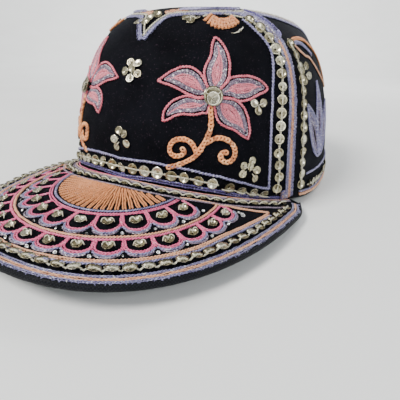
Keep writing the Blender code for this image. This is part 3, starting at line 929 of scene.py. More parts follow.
def front_border():
    rope("front_border", "lilac", on_crown(both_halves(crown_seen(INNER_FOOT))), 0.85, 3.6)
    for side in (1, -1):
        rope("front_border", "lilac", seen(INNER_COLUMN, side), 0.85, 3.6, hand=side)
        sequin_string("front_border_sequins", seen(BORDER_COLUMN, side), lean=-BORDER_LEAN * side)
    foot = on_crown(both_halves(crown_seen(LOWER_FOOT)))
    rope("front_border", "purple", foot, 0.72, 3.2)
    rope("front_border", "purple", foot.beside(1.3), 0.5, 3.0)
    row = both_halves(BORDER_FOOT)
    plain = on_crown(row[np.abs(row[:, 0]) <= ARCHES_START])
    sequin_string("front_border_sequins", plain, tilt=0.16)
    for side in (1, -1):
        end = on_crown(row[row[:, 0] * side >= ARCHES_START])
        sequin_string("front_border_sequins", end, arch=ARCHES_DROP, tilt=0.16, lean=0.3)


# Braids over the seams

FRONT_BRAID_WIDTH = 7.2
TOP_BRAID_WIDTH = 6.4
SILVER_START = 0.78
FRAY_FIBRES = 90


def braid(group, line, width, bands, pitch=3.4, lift=0.8):
    """Rows of chain stitches side by side. bands names each row's thread, from left to right."""
    row = width / len(bands)
    for number, thread in enumerate(bands):
        plait(group, thread, line.beside(row * (number + 0.5) - width / 2), row, pitch, lift)


def fray(group, thread, line, offset, count, reach):
    """Loose fibre ends that stick out beside a braid."""
    points, normals, ways, sides = line.at(rng.uniform(0, line.length, count))
    for point, normal, way, side in zip(points, normals, ways, sides * np.sign(offset)):
        start = point + side * abs(offset) * 0.8 + normal * 0.7
        lean = rng.uniform(-1.0, 1.0) * way
        middle = start + (side + lean * 0.5) * reach * 0.5 + normal * 0.25
        end = start + (side + lean) * reach * rng.uniform(0.6, 1.1) - normal * 0.2
        strand(group, thread, [start, middle, end], normal, 0.13, steps=3)


def seam_braids():
    for side, word in ((1, "left"), (-1, "right")):
        group = f"front_seam_braid_{word}"
        line = on_crown(mirrored(along(FRONT_CURVE, np.linspace(0.012, 1.0, 90)), side))
        braid(group, line.part(0, SILVER_START), FRONT_BRAID_WIDTH, ("lilac", "peach", "lilac"))
        braid(group, line.part(SILVER_START, 1), FRONT_BRAID_WIDTH, ("lilac", "silver", "lilac"))
        for offset in (3.5, -3.5):
            fray(group, "lilac", line, offset, FRAY_FIBRES, 1.3)
        chain(group, "purple", line.part(0.8, 1).beside(4.4 * side), 2.0, 2.4, 0.6, lift=1.6)
        tangle(group, mirrored((53.0, 2.6), side), 80)
        group = f"top_seam_braid_{word}"
        line = on_crown(mirrored(along(TOP_CURVE, np.linspace(0.02, 1.0, 170)), side))
        braid(group, line, TOP_BRAID_WIDTH, ("lilac", "silver", "cream")[::side], lift=0.9)
        fray(group, "lilac", line, 3.2, FRAY_FIBRES, 1.3)


def tangle(group, place, count):
    """Loose thread ends where several lines meet."""
    point, normal = crown_point(place), crown_normal(place)
    across = unit(np.cross(normal, (0, 0, 1.0)))
    up = np.cross(across, normal)
    for number in range(count):
        thread = ("lilac", "purple", "lilac", "peach", "mauve", "silver")[number % 6]
        spots = rng.uniform(-1, 1, (3, 2)) * (3.0, 2.6)
        heights = rng.uniform(0.6, 2.2, 3)[:, None]
        path = point + spots[:, :1] * across + spots[:, 1:] * up + heights * normal
        strand(group, thread, path, normal, 0.17, steps=3)


POINT_SEQUINS = ((139.8, 23.5, 2.9), (146.5, 24.0, 2.4), (151.5, 19.0, 2.2), (157.5, 16.0, 2.7))
POINT_ARM_SHIFT = 2.6


def point_braid():
    """Braid round the top panel's front point, with a cream line and sequins inside it."""
    group = "top_point_braid"
    for side in (1, -1):
        half = mirrored(along(POINT_CURVE, np.linspace(0.0, 1.0, 80)), side)
        if side < 0:  # this arm of the point lies further out in the photo
            opened = np.clip((half[:, 1] - 54) / 10, 0, 1) * np.clip((30 + half[:, 0]) / 16, 0, 1)
            half = half - np.stack([POINT_ARM_SHIFT * opened, 0 * opened], -1)
        line = on_crown(half)
        plait(group, "lilac", line.beside(0.9 * side), 2.6, 3.0)
        rope(group, "cream", line.beside(-1.5 * side).part(0.03, 1), 0.62, 2.6)
        ridge = line.beside(-3.6 * side).part(0.34, 1)
        plait(group, "peach", ridge.part(0, 0.3), 2.6, 3.0)
        plait(group, "silver", ridge.part(0.3, 1), 2.6, 3.0)
        chain(group, "lilac", ridge.part(0.2, 1), 2.0, 2.5, 0.6, lift=2.4)
        fray(group, "lilac", line, 2.2 * side, 60, 1.2)
        fray(group, "peach", ridge, -1.2 * side, 50, 1.6)
        fray(group, "cream", ridge, 1.2 * side, 50, 1.4)
    for place, (_, _, radius) in zip(crown_seen([spot[:2] for spot in POINT_SEQUINS]), POINT_SEQUINS):
        cup(group, "sequin", crown_point(place), crown_normal(place), radius, 0.9, lift=0.5, tilt=0.2)


def edge_cord():
    """Twisted cord along the crown's lower edge, round the sides and back."""
    line = on_crown(np.stack([np.linspace(63.5, 296.5, 300), np.full(300, 2.6)], -1))
    rope("crown_edge_cord", "peach", line.beside(0.5), 1.05, 4.2, lift=0.9)
    rope("crown_edge_cord", "lilac", line.beside(-1.1), 0.7, 3.2, lift=0.9)


# Small fans at the top of the front panel, from points in the photograph

TOP_FAN_FEET = np.array((
    (204.5, 21.5), (208, 24.5), (211.5, 27), (215, 28.6), (218.5, 29.3), (222, 29.8), (225.5, 29.6),
    (229, 29.2), (232.5, 28.2), (235.5, 26.5), (238, 24.5),
))
TOP_FAN_CREAM = ((203, 17), (209, 15), (215, 13.6), (222, 14.2), (229, 15.6), (236, 16.8), (243, 18.5))
TOP_FAN_LILAC = ((201, 15.5), (208, 12.6), (215, 11.2), (222, 11.6), (230, 13.2), (238, 15), (246, 17.6))
TOP_FAN_HEART = np.array((221.0, 6.0))
TOP_FAN_TURN = -5.0
CRESCENT = ((231.5, 33), (235, 33.2), (238.5, 32), (241.5, 29.6), (243.4, 26.6))


def top_fan(side, word):
    """Orange fan under the top seam, with a cream line, a lilac line and a crescent below it."""
    group = f"top_fan_{word}"
    turn = TOP_FAN_TURN if side < 0 else 0.0
    for foot in TOP_FAN_FEET:
        pixels = foot + (TOP_FAN_HEART - foot) * np.linspace(0, 0.42, 5)[:, None]
        line = on_crown(mirrored(crown_seen(pixels), side) + (turn, 0))
        rope(group, "orange", line, (1.0, 0.8), 2.6)
    for share in (0.12, 0.24, 0.36):
        pixels = (TOP_FAN_FEET + (TOP_FAN_HEART - TOP_FAN_FEET) * share)[1:-1]
        rope(group, "peach", seen(pixels, side, turn), 0.5, 2.4, lift=1.6)
    rope(group, "cream", seen(TOP_FAN_CREAM, side, turn), 0.6, 3.0)
    plait(group, "lilac", seen(TOP_FAN_LILAC, side, turn), 2.4, 3.0)
    line = seen(CRESCENT, side, turn)
    for part, ends in ((line.part(0, 0.5), (0.165, 0.825)), (line.part(0.5, 1), (0.825, 0.165))):
        rope(group, "sequin_bright", part, ends, line.length / 2, depth=0.3)


# Side panels: points in the photograph, then angles round the crown and climb angles

SIDE_CLUSTER = ((304.5, 66.5), (300, 71.5), (307.5, 76), (303, 81.5))
LEAF_TOP = ((290.5, 42), (293.5, 39.6), (298, 39.2), (303, 41), (308, 45.5), (312, 50))
LEAF_FOOT = ((290.5, 42), (295, 46.5), (300, 51.5), (305, 56), (310, 59.5))
LEAF_INNER = ((293.5, 43.2), (298, 43.4), (303, 46.5), (307.5, 51), (310.5, 55))
LEAF_END = ((6.5, -4.0), (13.0, -10.5), (17.0, -17.0))
SIDE_FOOT = ((70, 5.6), (78, 6.0), (92, 6.0), (110, 6.0), (126, 6.0), (140, 6.0))
SIDE_FOOT_LINE = ((69, 10.2), (78, 10.6), (92, 10.6), (110, 10.6), (126, 10.6), (139, 10.6))
SIDE_COLUMN_SHARES = np.array((0.05, 0.12, 0.20, 0.32, 0.44, 0.56, 0.68, 0.80))
SIDE_COLUMN_SHIFT = 7.4
SIDE_LEAN = 0.25
SIDE_PETAL_ROWS = (  # thread, start and end as shares of the length, half width, radius
    ("lilac", 0.06, 1.0, 7.2, 0.85),
    ("lilac", 0.12, 0.92, 5.5, 0.6),
    ("silver", 0.17, 0.86, 4.2, 0.5),
    ("purple", 0.2, 0.8, 3.0, 0.5),
    ("silver", 0.24, 0.74, 1.9, 0.45),
)


def side_motifs(side, word):
    places = along(FRONT_CURVE, SIDE_COLUMN_SHARES) + (SIDE_COLUMN_SHIFT, 0)
    line = on_crown(smooth(mirrored(places, side)))
    sequin_string(f"side_border_sequins_{word}", line, lean=-SIDE_LEAN * side)
    group = f"side_motif_{word}"
    cup_cluster(group, mirrored(crown_seen(SIDE_CLUSTER), side), 2.3, 0.6, side)
    top, foot, inner = (crown_seen(pixels) for pixels in (LEAF_TOP, LEAF_FOOT, LEAF_INNER))
    tip = top[-1] + LEAF_END[-1]
    top = np.concatenate([top, top[-1] + LEAF_END])
    foot = np.concatenate([foot, [foot[-1] * 0.5 + tip * 0.5 - (0, 1.6)], [tip]])
    for thread, places, width in (("orange", top, 2.6), ("peach", foot, 1.9), ("lilac", inner, 2.6)):
        plait(group, thread, on_crown(smooth(mirrored(places, side))), width, 3.0)
    sequin_string(group, on_crown(smooth(mirrored(SIDE_FOOT, side))), tilt=0.14)
    rope(group, "lilac", on_crown(smooth(mirrored(SIDE_FOOT_LINE, side))), 0.8, 3.2)
    side_flower(side, group)


def side_flower(side, group):
    """Three pointed petals in outline on the middle of the side panel."""
    chart = Chart(mirrored((84.0, 14.0), side))
    for around, climb in ((69.0, 34.0), (86.0, 42.0), (103.0, 34.0)):
        tip = chart.flat(mirrored((around, climb), side))
        for thread, start, end, width, radius in SIDE_PETAL_ROWS:
            rope(group, thread, chart.line(leaf_loop(tip, start, end, width)), radius, 2.6)


def leaf_loop(tip, start, end, half_width):
    """Closed leaf-shaped loop between two shares of the way from the middle to a tip."""
    across = np.array([-tip[1], tip[0]]) / np.linalg.norm(tip)
    t = np.linspace(0, 1, 26)
    bow = (half_width * np.sin(np.pi * t**0.8) ** 0.85)[:, None] * across
    middle = (start + (end - start) * t)[:, None] * tip
    return np.concatenate([middle + bow, (middle - bow)[::-1][1:]])


# Peak

FAN_MIDDLE = np.array([0.0, -103.5])
FAN_RAYS = 31
FAN_START = 9.0
FAN_END = 32.6
FAN_LILAC = 34.2
FAN_PINK = 36.4
FIRST_HEM = 50.9
FIRST_LINE = 52.7
SECOND_START = 54.3
SECOND_HEM = 64.4
DOUBLE_LINE_RADIUS = 66.2
FIRST_CELLS = (15.75, 5)
SECOND_CELLS = (11.55, 8)
CELL_CORNER = 0.52
HEM_DEPTH = 2.2
HEM_START = 0.62
LILAC_HEM = 1.35
SILVER_HEM = 2.35
CELL_SEQUIN = 0.53
CELL_SEQUIN_CLEARANCE = 11
CELL_SEQUIN_GAP = 3
DOUBLE_LINE_GAP = 1.2
ROOT_GAP = 0.9
BEAD_GAP = 2
CORNER_BEADS = ((61.5, -96.5), (65.0, -95.0))
ROW_PITCH = 2.8
ROOT_CLEARANCE = 9.6
ROOT_STRING_OFFSET = 5.0
ROOT_STRING_ANGLE = 53
ROOT_SHIFT = 2.4
PEAK_BRAID_INSET = 3.9
PEAK_STRING_INSET = 7.7
DOUBLE_LINE_END = ((66.6, -112.0), (69.0, -104.5), (70.8, -97.5), (72.6, -89.8), (73.8, -82.0))
ROOT_LINE = (
    (0, -118.0), (20.0, -114.5), (36.0, -104.6), (48.0, -98.2), (55.5, -94.0), (62.0, -90.0),
    (68.0, -85.4), (73.6, -80.0),
)
MOUSTACHE = (  # share of the radius across, height, way back
    (-1.12, 1.0, 0.0),
    (-0.95, 2.1, 0.5),
    (-0.5, 2.2, 1.2),
    (0.0, 1.3, 0.3),
    (0.5, 2.2, 1.2),
    (0.95, 2.1, 0.5),
    (1.12, 1.0, 0.0),
)


def ring_place(radius, degrees):
    """Place at a distance from the fan's middle and an angle from straight ahead."""
    return FAN_MIDDLE + plan(radius, np.radians(degrees))


def double_line():
    """Arc round the scallops that runs out into a corner at either end."""
    arc = [ring_place(DOUBLE_LINE_RADIUS, angle) for angle in (0, 12, 24, 36, 48, 60, 70)]
    half = np.concatenate([arc, DOUBLE_LINE_END])
    return smooth(np.concatenate([half[:0:-1] * (-1, 1), half]))


DOUBLE_LINE = double_line()
ROOT_CURVE = smooth(ROOT_LINE)


def from_fan(places):
    """Distance of places from the fan's middle, and their angle from straight ahead."""
    x, y = (places - FAN_MIDDLE).T
    return np.hypot(x, y), np.degrees(np.arctan2(x, -y))


def off_root(places):
    """How far in front of the line that closes the scallops' ends each place lies."""
    return np.interp(np.abs(places[:, 0]), *ROOT_CURVE.T) - places[:, 1]


def off_crown(places):
    angle = np.arctan2(places[:, 0], -places[:, 1])
    return np.hypot(places[:, 0], places[:, 1]) - rim_radius(angle)


def is_free(places, root_gap):
    """True where a place is clear of the crown's foot, the closing line and the double line."""
    reach, turn = from_fan(places)
    edge_reach, edge_turn = from_fan(DOUBLE_LINE)
    inside = reach < np.interp(np.abs(turn), edge_turn, edge_reach) - DOUBLE_LINE_GAP
    return inside & (off_crown(places) > ROOT_CLEARANCE) & (off_root(places) > root_gap)


def peak_line(group, thread, places, maker, size):
    """Lays one stitch line on the peak, without what would run under the lines round it."""
    kept = places[is_free(places, ROOT_GAP)]
    if len(kept) > 3:
        maker(group, thread, on_peak(kept), size, ROW_PITCH)


def peak_fan():
    for number in range(FAN_RAYS):
        degrees = -90 + 180 * (number + 0.5) / FAN_RAYS
        places = ring_place(np.linspace(FAN_START, FAN_END, 30), degrees)
        kept = places[off_crown(places) > ROOT_CLEARANCE]
        if len(kept) > 3:
            plait("peak_fan", "orange", on_peak(kept), 2.0, 2.3)
    for thread, radius, maker, size in (("lilac", FAN_LILAC, rope, 0.7), ("rose", FAN_PINK, plait, 1.9)):
        places = ring_place(radius, np.linspace(-97, 97, 160))
        kept = places[off_crown(places) > ROOT_CLEARANCE]
        maker("peak_fan", thread, on_peak(kept), size, ROW_PITCH)


def cell_shape(inner, foot, half):
    """Half of a cell's outline: straight down one side, round its foot, as radius and swing."""
    down = np.linspace(0, 1 - CELL_CORNER, 9)[:-1]
    turn = np.radians(np.linspace(0, 90, 14))
    swing = np.concatenate([1.0 - 0.10 * down, 0.95 * np.cos(turn)])
    reach = np.concatenate([down, (1 - CELL_CORNER) + CELL_CORNER * np.sin(turn)])
    return inner + (foot - inner) * reach, half * swing


def scallop_row(group, inner, hem, pitch, cells_each_way, cup_radius):
    """Row of rounded cells: pink walls, a lilac hem below them and a cup sequin in each."""
    foot = hem - HEM_DEPTH
    half_radius, swing = cell_shape(inner, foot, pitch / 2)
    radius = np.concatenate([half_radius, half_radius[::-1][1:]])
    swing = np.concatenate([-swing, swing[::-1][1:]])
    low = radius > inner + (foot - inner) * HEM_START
    for number in range(-cells_each_way, cells_each_way + 1):
        centre = number * pitch
        peak_line(group, "rose", even(ring_place(radius, centre + swing), 60), plait, 1.75)
        hem_places = ring_place(radius[low] + LILAC_HEM, centre + swing[low] * 1.04)
        peak_line(group, "lilac", hem_places, rope, 0.62)
        hem_places = ring_place(radius[low][2:-2] + SILVER_HEM, centre + swing[low][2:-2])
        peak_line(group, "silver", hem_places, rope, 0.5)
        middle = ring_place(inner + (foot - inner) * CELL_SEQUIN, np.array([centre]))
        if off_crown(middle)[0] > CELL_SEQUIN_CLEARANCE and off_root(middle)[0] > CELL_SEQUIN_GAP:
            scallop_sequin(group, middle[0], centre, cup_radius)
        bead(group, ring_place(hem - 0.9, centre + pitch / 2))


def bead(group, place):
    """Small bright bead in the corner between two cells."""
    if is_free(place[None], BEAD_GAP)[0]:
        lean = unit(peak_normal(place) + np.array([0.35, -0.5, 0.1]))
        cup(group, "silver_bead", peak_point(place), lean, 0.75, 0.3, lift=0.5, tilt=0.4)


def scallop_sequin(group, place, degrees, radius):
    """Cup sequin held by a thread that goes over its rim at both sides."""
    point, normal = peak_point(place), peak_normal(place)
    lean = unit(normal + np.array([0.0, -0.12, 0.0]))
    cup(group, "sequin", point, lean, radius, 1.1, lift=0.6, tilt=0.07)
    angle = math.radians(degrees)
    way = np.array([math.cos(angle), math.sin(angle), 0.0])
    back = np.cross(normal, way)
    path = [point + way * share * radius + back * behind + normal * up for share, up, behind in MOUSTACHE]
    strand(group, "cream", path, normal, 0.3)


def peak_rings():
    group = "peak_lines"
    degrees = np.linspace(-104, 104, 260)
    peak_line(group, "peach", ring_place(FIRST_LINE, degrees), rope, 0.72)
    peak_line(group, "rose", ring_place(FIRST_LINE + 1.5, degrees), rope, 0.72)
    line = on_peak(DOUBLE_LINE)
    plait(group, "peach", line, 2.0, ROW_PITCH)
    rope(group, "lilac", line.beside(1.6), 0.7, ROW_PITCH)
    for side in (1, -1):
        plait(group, "peach", on_peak(smooth(mirrored(ROOT_LINE[2:], side))), 1.8, ROW_PITCH)
        for place in mirrored(CORNER_BEADS, side):
            cup(group, "silver_bead", peak_point(place), peak_normal(place), 1.3, 0.4, tilt=0.3)


def root_lines():
    """Lines that follow the crown's foot on the peak, and the string between them."""
    group = "peak_lines"
    degrees = np.linspace(-56.5, 56.5, 260)
    angle = np.radians(degrees)
    # The lines move outwards on the right half, and back again at its end
    share = np.clip((12 - degrees) / 34, 0, 1)
    ease = np.clip((56 + degrees) / 18, 0, 1)
    shift = ROOT_SHIFT * share * share * (3 - 2 * share) * ease

    def foot(offset, moved=1.0):
        return plan(rim_radius(angle) + offset + shift * moved, angle)

    rope(group, "rose", on_peak(foot(0.6, 0.2)), 0.42, 3.0)
    plait(group, "mauve", on_peak(foot(1.9, 0.5)), 1.9, 3.0)
    plait(group, "mauve", on_peak(foot(2.0)), 1.7, 3.0, lift=0.5)
    rope(group, "peach", on_peak(foot(1.0, 0.7)), 0.4, 3.0, lift=1.4)
    places = foot(ROOT_STRING_OFFSET)[np.abs(degrees) <= ROOT_STRING_ANGLE]
    sequin_string("peak_root_sequins", on_peak(places), 6.8, 2.2, 0.4)
    rope(group, "mauve", on_peak(foot(8.5)[16:-16]), 0.6, 3.0)


def peak_edge_lines():
    line = on_peak(inset_edge(PEAK_BRAID_INSET, 0.012, 0.988))
    braid("peak_edge_braid", line, 4.1, ("lilac", "peach", "lilac"), pitch=2.9)
    fray("peak_edge_braid", "lilac", line, 2.1, 260, 1.2)
    line = on_peak(inset_edge(PEAK_STRING_INSET, 0.05, 0.95))
    sequin_string("peak_edge_sequins", line, 6.4, 2.65, 0.45, 0.06, -0.32)


# Materials


class Finish:
    """Principled material in progress. A colour given as one number is a grey."""

    def __init__(self, name, **values):
        self.material = bpy.data.materials.new(name)
        self.material.use_nodes = True
        self.tree = self.material.node_tree
        self.shader = self.tree.nodes["Principled BSDF"]
        for key, value in values.items():
            self.shader.inputs[key.replace("_", " ")].default_value = value

    def node(self, kind, feeds=(), **values):
        """New node, fed by outputs into its first inputs or into named ones."""
        made = self.tree.nodes.new(f"ShaderNode{kind}")
        for key, value in values.items():
            if key in made.inputs:
                made.inputs[key].default_value = value
            else:
                setattr(made, key, value)
        for key, output in dict(feeds).items():
            self.tree.links.new(output, made.inputs[key])
        return made

    def place(self, output="Object"):
        return self.node("TexCoord").outputs[output]

    def noise(self, scale, detail=3.0, roughness=0.6):
        values = {"Scale": scale, "Detail": detail, "Roughness": roughness}
        return self.node("TexNoise", {"Vector": self.place()}, **values).outputs["Fac"]

    def wave(self, vector, scale, distortion, way="X"):
        values = {"Scale": scale, "Distortion": distortion, "Detail": 1.0, "bands_direction": way}
        return self.node("TexWave", {"Vector": vector}, **values).outputs["Fac"]

    def attribute(self, name):
        return self.node("Attribute", attribute_name=name).outputs["Fac"]

    def ramp(self, value, *stops):
        made = self.node("ValToRGB", {"Fac": value})
        while len(made.color_ramp.elements) < len(stops):
            made.color_ramp.elements.new(0.5)
        for element, (position, colour) in zip(made.color_ramp.elements, stops):
            element.position = position
            element.color = (*np.broadcast_to(colour, 3).tolist(), 1.0)
        return made.outputs["Color"]

    def colour(self, *values):
        output = self.node("RGB").outputs[0]
        output.default_value = (*values, 1.0)
        return output

    def blend(self, share, first, second):
        made = self.node("Mix", {6: first, 7: second}, data_type="RGBA")
        if isinstance(share, float):
            made.inputs[0].default_value = share
        else:
            self.tree.links.new(share, made.inputs[0])
        return made.outputs[2]

    def math(self, operation, first, second):
        return self.node("Math", {0: first, 1: second}, operation=operation).outputs[0]

    def feed(self, name, output):
        self.tree.links.new(output, self.shader.inputs[name])

    def bump(self, height, strength, distance):
        made = self.node("Bump", {"Height": height}, Strength=strength, Distance=distance * MM)
        self.feed("Normal", made.outputs["Normal"])


def velvet_material():
    """Near-black pile with a cool bloom where it is seen from the side."""
    made = Finish(
        "black_velvet",
        Sheen_Weight=0.045,
        Sheen_Roughness=0.3,
        Sheen_Tint=(0.62, 0.7, 0.85, 1.0),
        Specular_IOR_Level=0.05,
    )
    patches = made.noise(55.0, 4.0, 0.55)
    colour = made.ramp(patches, (0.3, (0.0016, 0.0018, 0.0028)), (0.75, (0.0045, 0.005, 0.0075)))
    lint = made.ramp(made.noise(1300.0, 1.0), (0.66, 0.0), (0.72, 0.8))
    made.feed("Base Color", made.blend(lint, colour, made.colour(0.035, 0.022, 0.032)))
    made.feed("Roughness", made.ramp(made.noise(90.0), (0.3, 0.82), (0.7, 0.98)))
    made.bump(made.noise(2600.0, 2.0, 0.7), 0.5, 0.25)
    return made.material


def backing_material():
    """Plain black woven cloth of the inside and the peak's underside."""
    made = Finish("black_backing", Roughness=0.85)
    place = made.place()
    x, y, z = (made.wave(place, 420.0, 0.6, way) for way in "XYZ")
    colour = made.ramp(made.noise(300.0), (0.3, (0.010, 0.010, 0.012)), (0.7, (0.022, 0.022, 0.026)))
    made.feed("Base Color", colour)
    made.bump(made.math("ADD", made.math("ADD", x, y), z), 0.5, 0.15)
    return made.material


def binding_material():
    """Black bias binding with a diagonal weave."""
    made = Finish("black_binding", Specular_IOR_Level=0.12)
    waves = []
    for turn in (38.0, -52.0):
        spin = made.node("Mapping", {"Vector": made.place("UV")})
        spin.inputs["Rotation"].default_value[2] = math.radians(turn)
        waves.append(made.wave(spin.outputs["Vector"], 3.6, 0.4))
    woven = made.math("MULTIPLY", *waves)
    colour = made.ramp(woven, (0.0, (0.0015, 0.0018, 0.003)), (0.8, (0.010, 0.011, 0.016)))
    made.feed("Base Color", colour)
    made.feed("Roughness", made.ramp(made.noise(140.0), (0.3, 0.5), (0.7, 0.72)))
    made.bump(woven, 0.6, 0.2)
    return made.material


THREADS = {  # dark colour (also the painted shade in the grooves between plies), middle and light colour, roughness, metallic, share of painted glints
    "lilac": ((0.03, 0.025, 0.08), (0.25, 0.23, 0.45), (0.66, 0.65, 0.92), 0.34, 0.2, 0.55),
    "purple": ((0.02, 0.012, 0.07), (0.10, 0.075, 0.26), (0.36, 0.32, 0.66), 0.36, 0.2, 0.5),
    "silver": ((0.02, 0.012, 0.03), (0.22, 0.15, 0.24), (0.80, 0.70, 0.78), 0.30, 0.25, 0.8),
    "petal_pink": ((0.30, 0.03, 0.06), (0.90, 0.24, 0.31), (1.0, 0.54, 0.58), 0.5, 0.0, 0.3),
    "mauve": ((0.05, 0.03, 0.06), (0.27, 0.20, 0.28), (0.66, 0.56, 0.64), 0.5, 0.1, 0.4),
    "peach": ((0.32, 0.10, 0.05), (0.86, 0.43, 0.24), (1.0, 0.74, 0.50), 0.5, 0.0, 0.2),
    "orange": ((0.28, 0.07, 0.02), (0.84, 0.31, 0.10), (1.0, 0.55, 0.26), 0.5, 0.0, 0.15),
    "pink": ((0.26, 0.025, 0.045), (0.84, 0.15, 0.22), (1.0, 0.42, 0.47), 0.5, 0.0, 0.25),
    "rose": ((0.32, 0.02, 0.08), (0.88, 0.12, 0.30), (1.0, 0.42, 0.57), 0.48, 0.0, 0.3),
    "cream": ((0.22, 0.19, 0.12), (0.74, 0.70, 0.52), (1.0, 0.98, 0.88), 0.42, 0.0, 0.3),
}
SEQUINS = {  # name, paleness, brightness; a brightness below 1 darkens towards near-black, which on the arched strings' cups and the flowers' back cups is painted shade
    "sequin": ("cup_sequin", 0.0, 1.0),
    "sequin_dull": ("painted_shade_sequin", 0.0, 0.72),
    "sequin_bright": ("bright_sequin", 0.15, 0.95),
    "silver_bead": ("silver_bead", 0.75, 0.8),
}


def thread_material(name, dark, middle, light, roughness, metallic, painted_glint_share):
    """Thread whose colour varies from ply to ply and along its fibres, with painted shade in the grooves
    between its plies and small white painted glints.
    """
    made = Finish(f"{name}_thread", Roughness=roughness, Metallic=metallic, Sheen_Weight=0.1)
    # The low end of the tone is the painted shade that rope gives the grooves between plies
    stitch = made.ramp(made.attribute("tone"), (0.1, dark), (0.4, middle), (0.75, middle), (1.0, light))
    fibre = made.ramp(made.noise(1500.0, 2.0, 0.7), (0.36, dark), (0.48, middle), (0.68, light))
    # Painted glints: small white spots blended into the colour where the fibres would glint
    edge = 0.66 - 0.08 * painted_glint_share
    bright = made.ramp(made.noise(1150.0, 1.0), (edge, 0.0), (edge + 0.05, painted_glint_share))
    colour = made.blend(bright, made.blend(0.35, stitch, fibre), made.colour(1.0, 1.0, 1.0))
    made.feed("Base Color", colour)
    made.bump(made.noise(3600.0, 2.0, 0.6), 0.5, 0.14)
    return made.material


def sequin_material(name, paleness, brightness):
    """Pale gold cup sequin, a little worn, each in its own tone, darkened by a brightness below 1; on the
    arched strings' cups and the flowers' back cups that darkening is painted shade.
    """
    made = Finish(name, Metallic=0.92)
    tone = made.attribute("tone")
    own = made.ramp(tone, (0.0, (0.28, 0.24, 0.14)), (0.6, (0.50, 0.46, 0.30)), (1.0, (0.86, 0.84, 0.68)))
    worn = made.ramp(made.noise(700.0, 4.0), (0.35, (0.22, 0.19, 0.12)), (0.6, (0.66, 0.62, 0.46)))
    pale = made.ramp(tone, (0.0, (0.80, 0.82, 0.86)), (1.0, (0.95, 0.96, 1.0)))
    dark = made.ramp(tone, (0.0, (0.06, 0.055, 0.035)), (1.0, (0.10, 0.09, 0.06)))
    clean = made.blend(paleness, made.blend(0.35, own, worn), pale)
    # A brightness below 1 blends towards the dark ramp: painted shade on the darker copy
    made.feed("Base Color", made.blend(brightness, dark, clean))
    made.feed("Roughness", made.ramp(made.noise(900.0), (0.3, 0.16), (0.7, 0.34)))
    made.bump(made.noise(500.0), 0.12, 0.12)
    return made.material


def floor_material():
    made = Finish("pale_floor", Roughness=0.8)
    colour = made.ramp(made.noise(6.0), (0.3, (0.80, 0.81, 0.80)), (0.7, (0.84, 0.85, 0.84)))
    made.feed("Base Color", colour)
    return made.material


# Stage, light and camera, in metres

STAGE_DROP = -0.0002
STAGE_SIDES = 96
STAGE_PROFILE = (  # distance from the middle, height
    (0.6, 0.0), (1.3, 0.0), (1.7, 0.03), (2.1, 0.14), (2.5, 0.36), (2.8, 0.68), (3.0, 1.1),
    (3.1, 1.7), (3.1, 2.4),
)


def make_stage():
    """Pale floor that rises into a round backdrop."""
    profile = smooth(STAGE_PROFILE, steps=5)
    angle = 2 * np.pi * np.arange(STAGE_SIDES) / STAGE_SIDES
    verts = [(0.0, 0.0, STAGE_DROP)]
    for reach, height in profile:
        verts += [(reach * math.cos(a), reach * math.sin(a), height + STAGE_DROP) for a in angle]
    faces = [(0, 1 + n, 1 + (n + 1) % STAGE_SIDES) for n in range(STAGE_SIDES)]
    quads, _ = tube_faces(len(profile), STAGE_SIDES)
    faces += (quads[:, (0, 3, 2, 1)] + 1).tolist()
    mesh = bpy.data.meshes.new("floor")
    mesh.from_pydata(verts, [], faces)
    mesh.polygons.foreach_set("use_smooth", [True] * len(mesh.polygons))
    mesh.materials.append(floor_material())
    add_object("floor", mesh)


def area_light(name, place, size, power, colour, target=(0, 0, 0.05)):
    data = bpy.data.lights.new(name, "AREA")
    data.shape = "DISK"
    data.size = size
    data.energy = power
    data.color = colour
    item = add_object(name, data)
    item.location = place
    item.rotation_mode = "QUATERNION"
    item.rotation_quaternion = (Vector(target) - Vector(place)).to_track_quat("-Z", "Y")


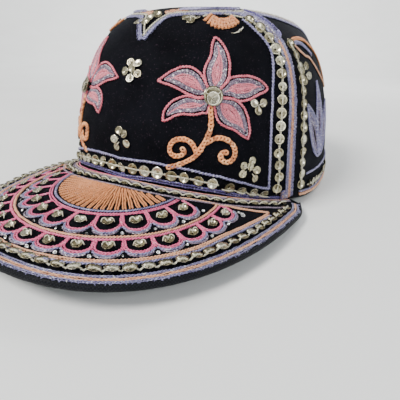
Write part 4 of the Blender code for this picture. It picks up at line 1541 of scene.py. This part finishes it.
def make_lights():
    world = bpy.data.worlds.new("studio")
    bpy.context.scene.world = world
    world.use_nodes = True
    backdrop = world.node_tree.nodes["Background"]
    backdrop.inputs["Color"].default_value = (0.80, 0.82, 0.84, 1.0)
    backdrop.inputs["Strength"].default_value = 0.45
    area_light("key", (-0.35, -0.75, 0.95), 0.45, 20.0, (1.0, 0.98, 0.95))
    area_light("fill", (0.9, -0.5, 0.6), 0.6, 6.5, (0.93, 0.96, 1.0))
    area_light("rim", (0.2, 0.9, 0.8), 0.5, 5.0, (1.0, 1.0, 1.0))
    area_light("backdrop_wash", (-0.5, 1.0, 1.7), 1.4, 70.0, (1.0, 1.0, 1.0), (-1.3, 2.7, 0.5))


def make_camera():
    data = bpy.data.cameras.new("camera")
    data.sensor_width = SENSOR_WIDTH
    data.lens = SENSOR_WIDTH * FOCAL_PIXELS / PHOTO_PIXELS
    data.clip_start = 0.01
    item = add_object("camera", data)
    turned = Matrix((Vector(ACROSS), Vector(UPWARD), Vector(BACK))).transposed().to_4x4()
    item.matrix_world = Matrix.Translation(Vector(to_metres(EYE)[0])) @ turned
    bpy.context.scene.camera = item


# Putting it together


def build_works():
    materials = {name: thread_material(name, *values) for name, values in THREADS.items()}
    materials |= {kind: sequin_material(*values) for kind, values in SEQUINS.items()}
    for (group, thread), made in WORKS.items():
        item = made.build(f"{group}_{thread}", materials[thread])
        attach(item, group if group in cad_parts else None)


def build_cloth():
    cloth = (velvet_material(), backing_material())
    crown_cloth("crown_front_velvet", "crown_front_panel", front_panel_rows(), cloth)
    crown_cloth("crown_side_velvet_left", "crown_side_panel_left", side_panel_rows(1), cloth)
    crown_cloth("crown_side_velvet_right", "crown_side_panel_right", side_panel_rows(-1), cloth)
    crown_cloth("crown_top_velvet", "crown_top_panel", top_panel_rows(), cloth)
    peak_cloth(cloth)
    binding_cloth(binding_material())


def stitch_crown():
    front_border()
    for side, word in ((1, "left"), (-1, "right")):
        flower(side, word)
        stem(side, word)
        top_fan(side, word)
        side_motifs(side, word)
    clusters()
    seam_braids()
    point_braid()
    edge_cord()


def stitch_peak():
    peak_fan()
    scallop_row("peak_scallops_inner", FAN_PINK, FIRST_HEM, *FIRST_CELLS, 2.45)
    scallop_row("peak_scallops_outer", SECOND_START, SECOND_HEM, *SECOND_CELLS, 2.25)
    peak_rings()
    root_lines()
    peak_edge_lines()


make_camera()
build_cloth()
stitch_crown()
stitch_peak()
build_works()
make_stage()
make_lights()
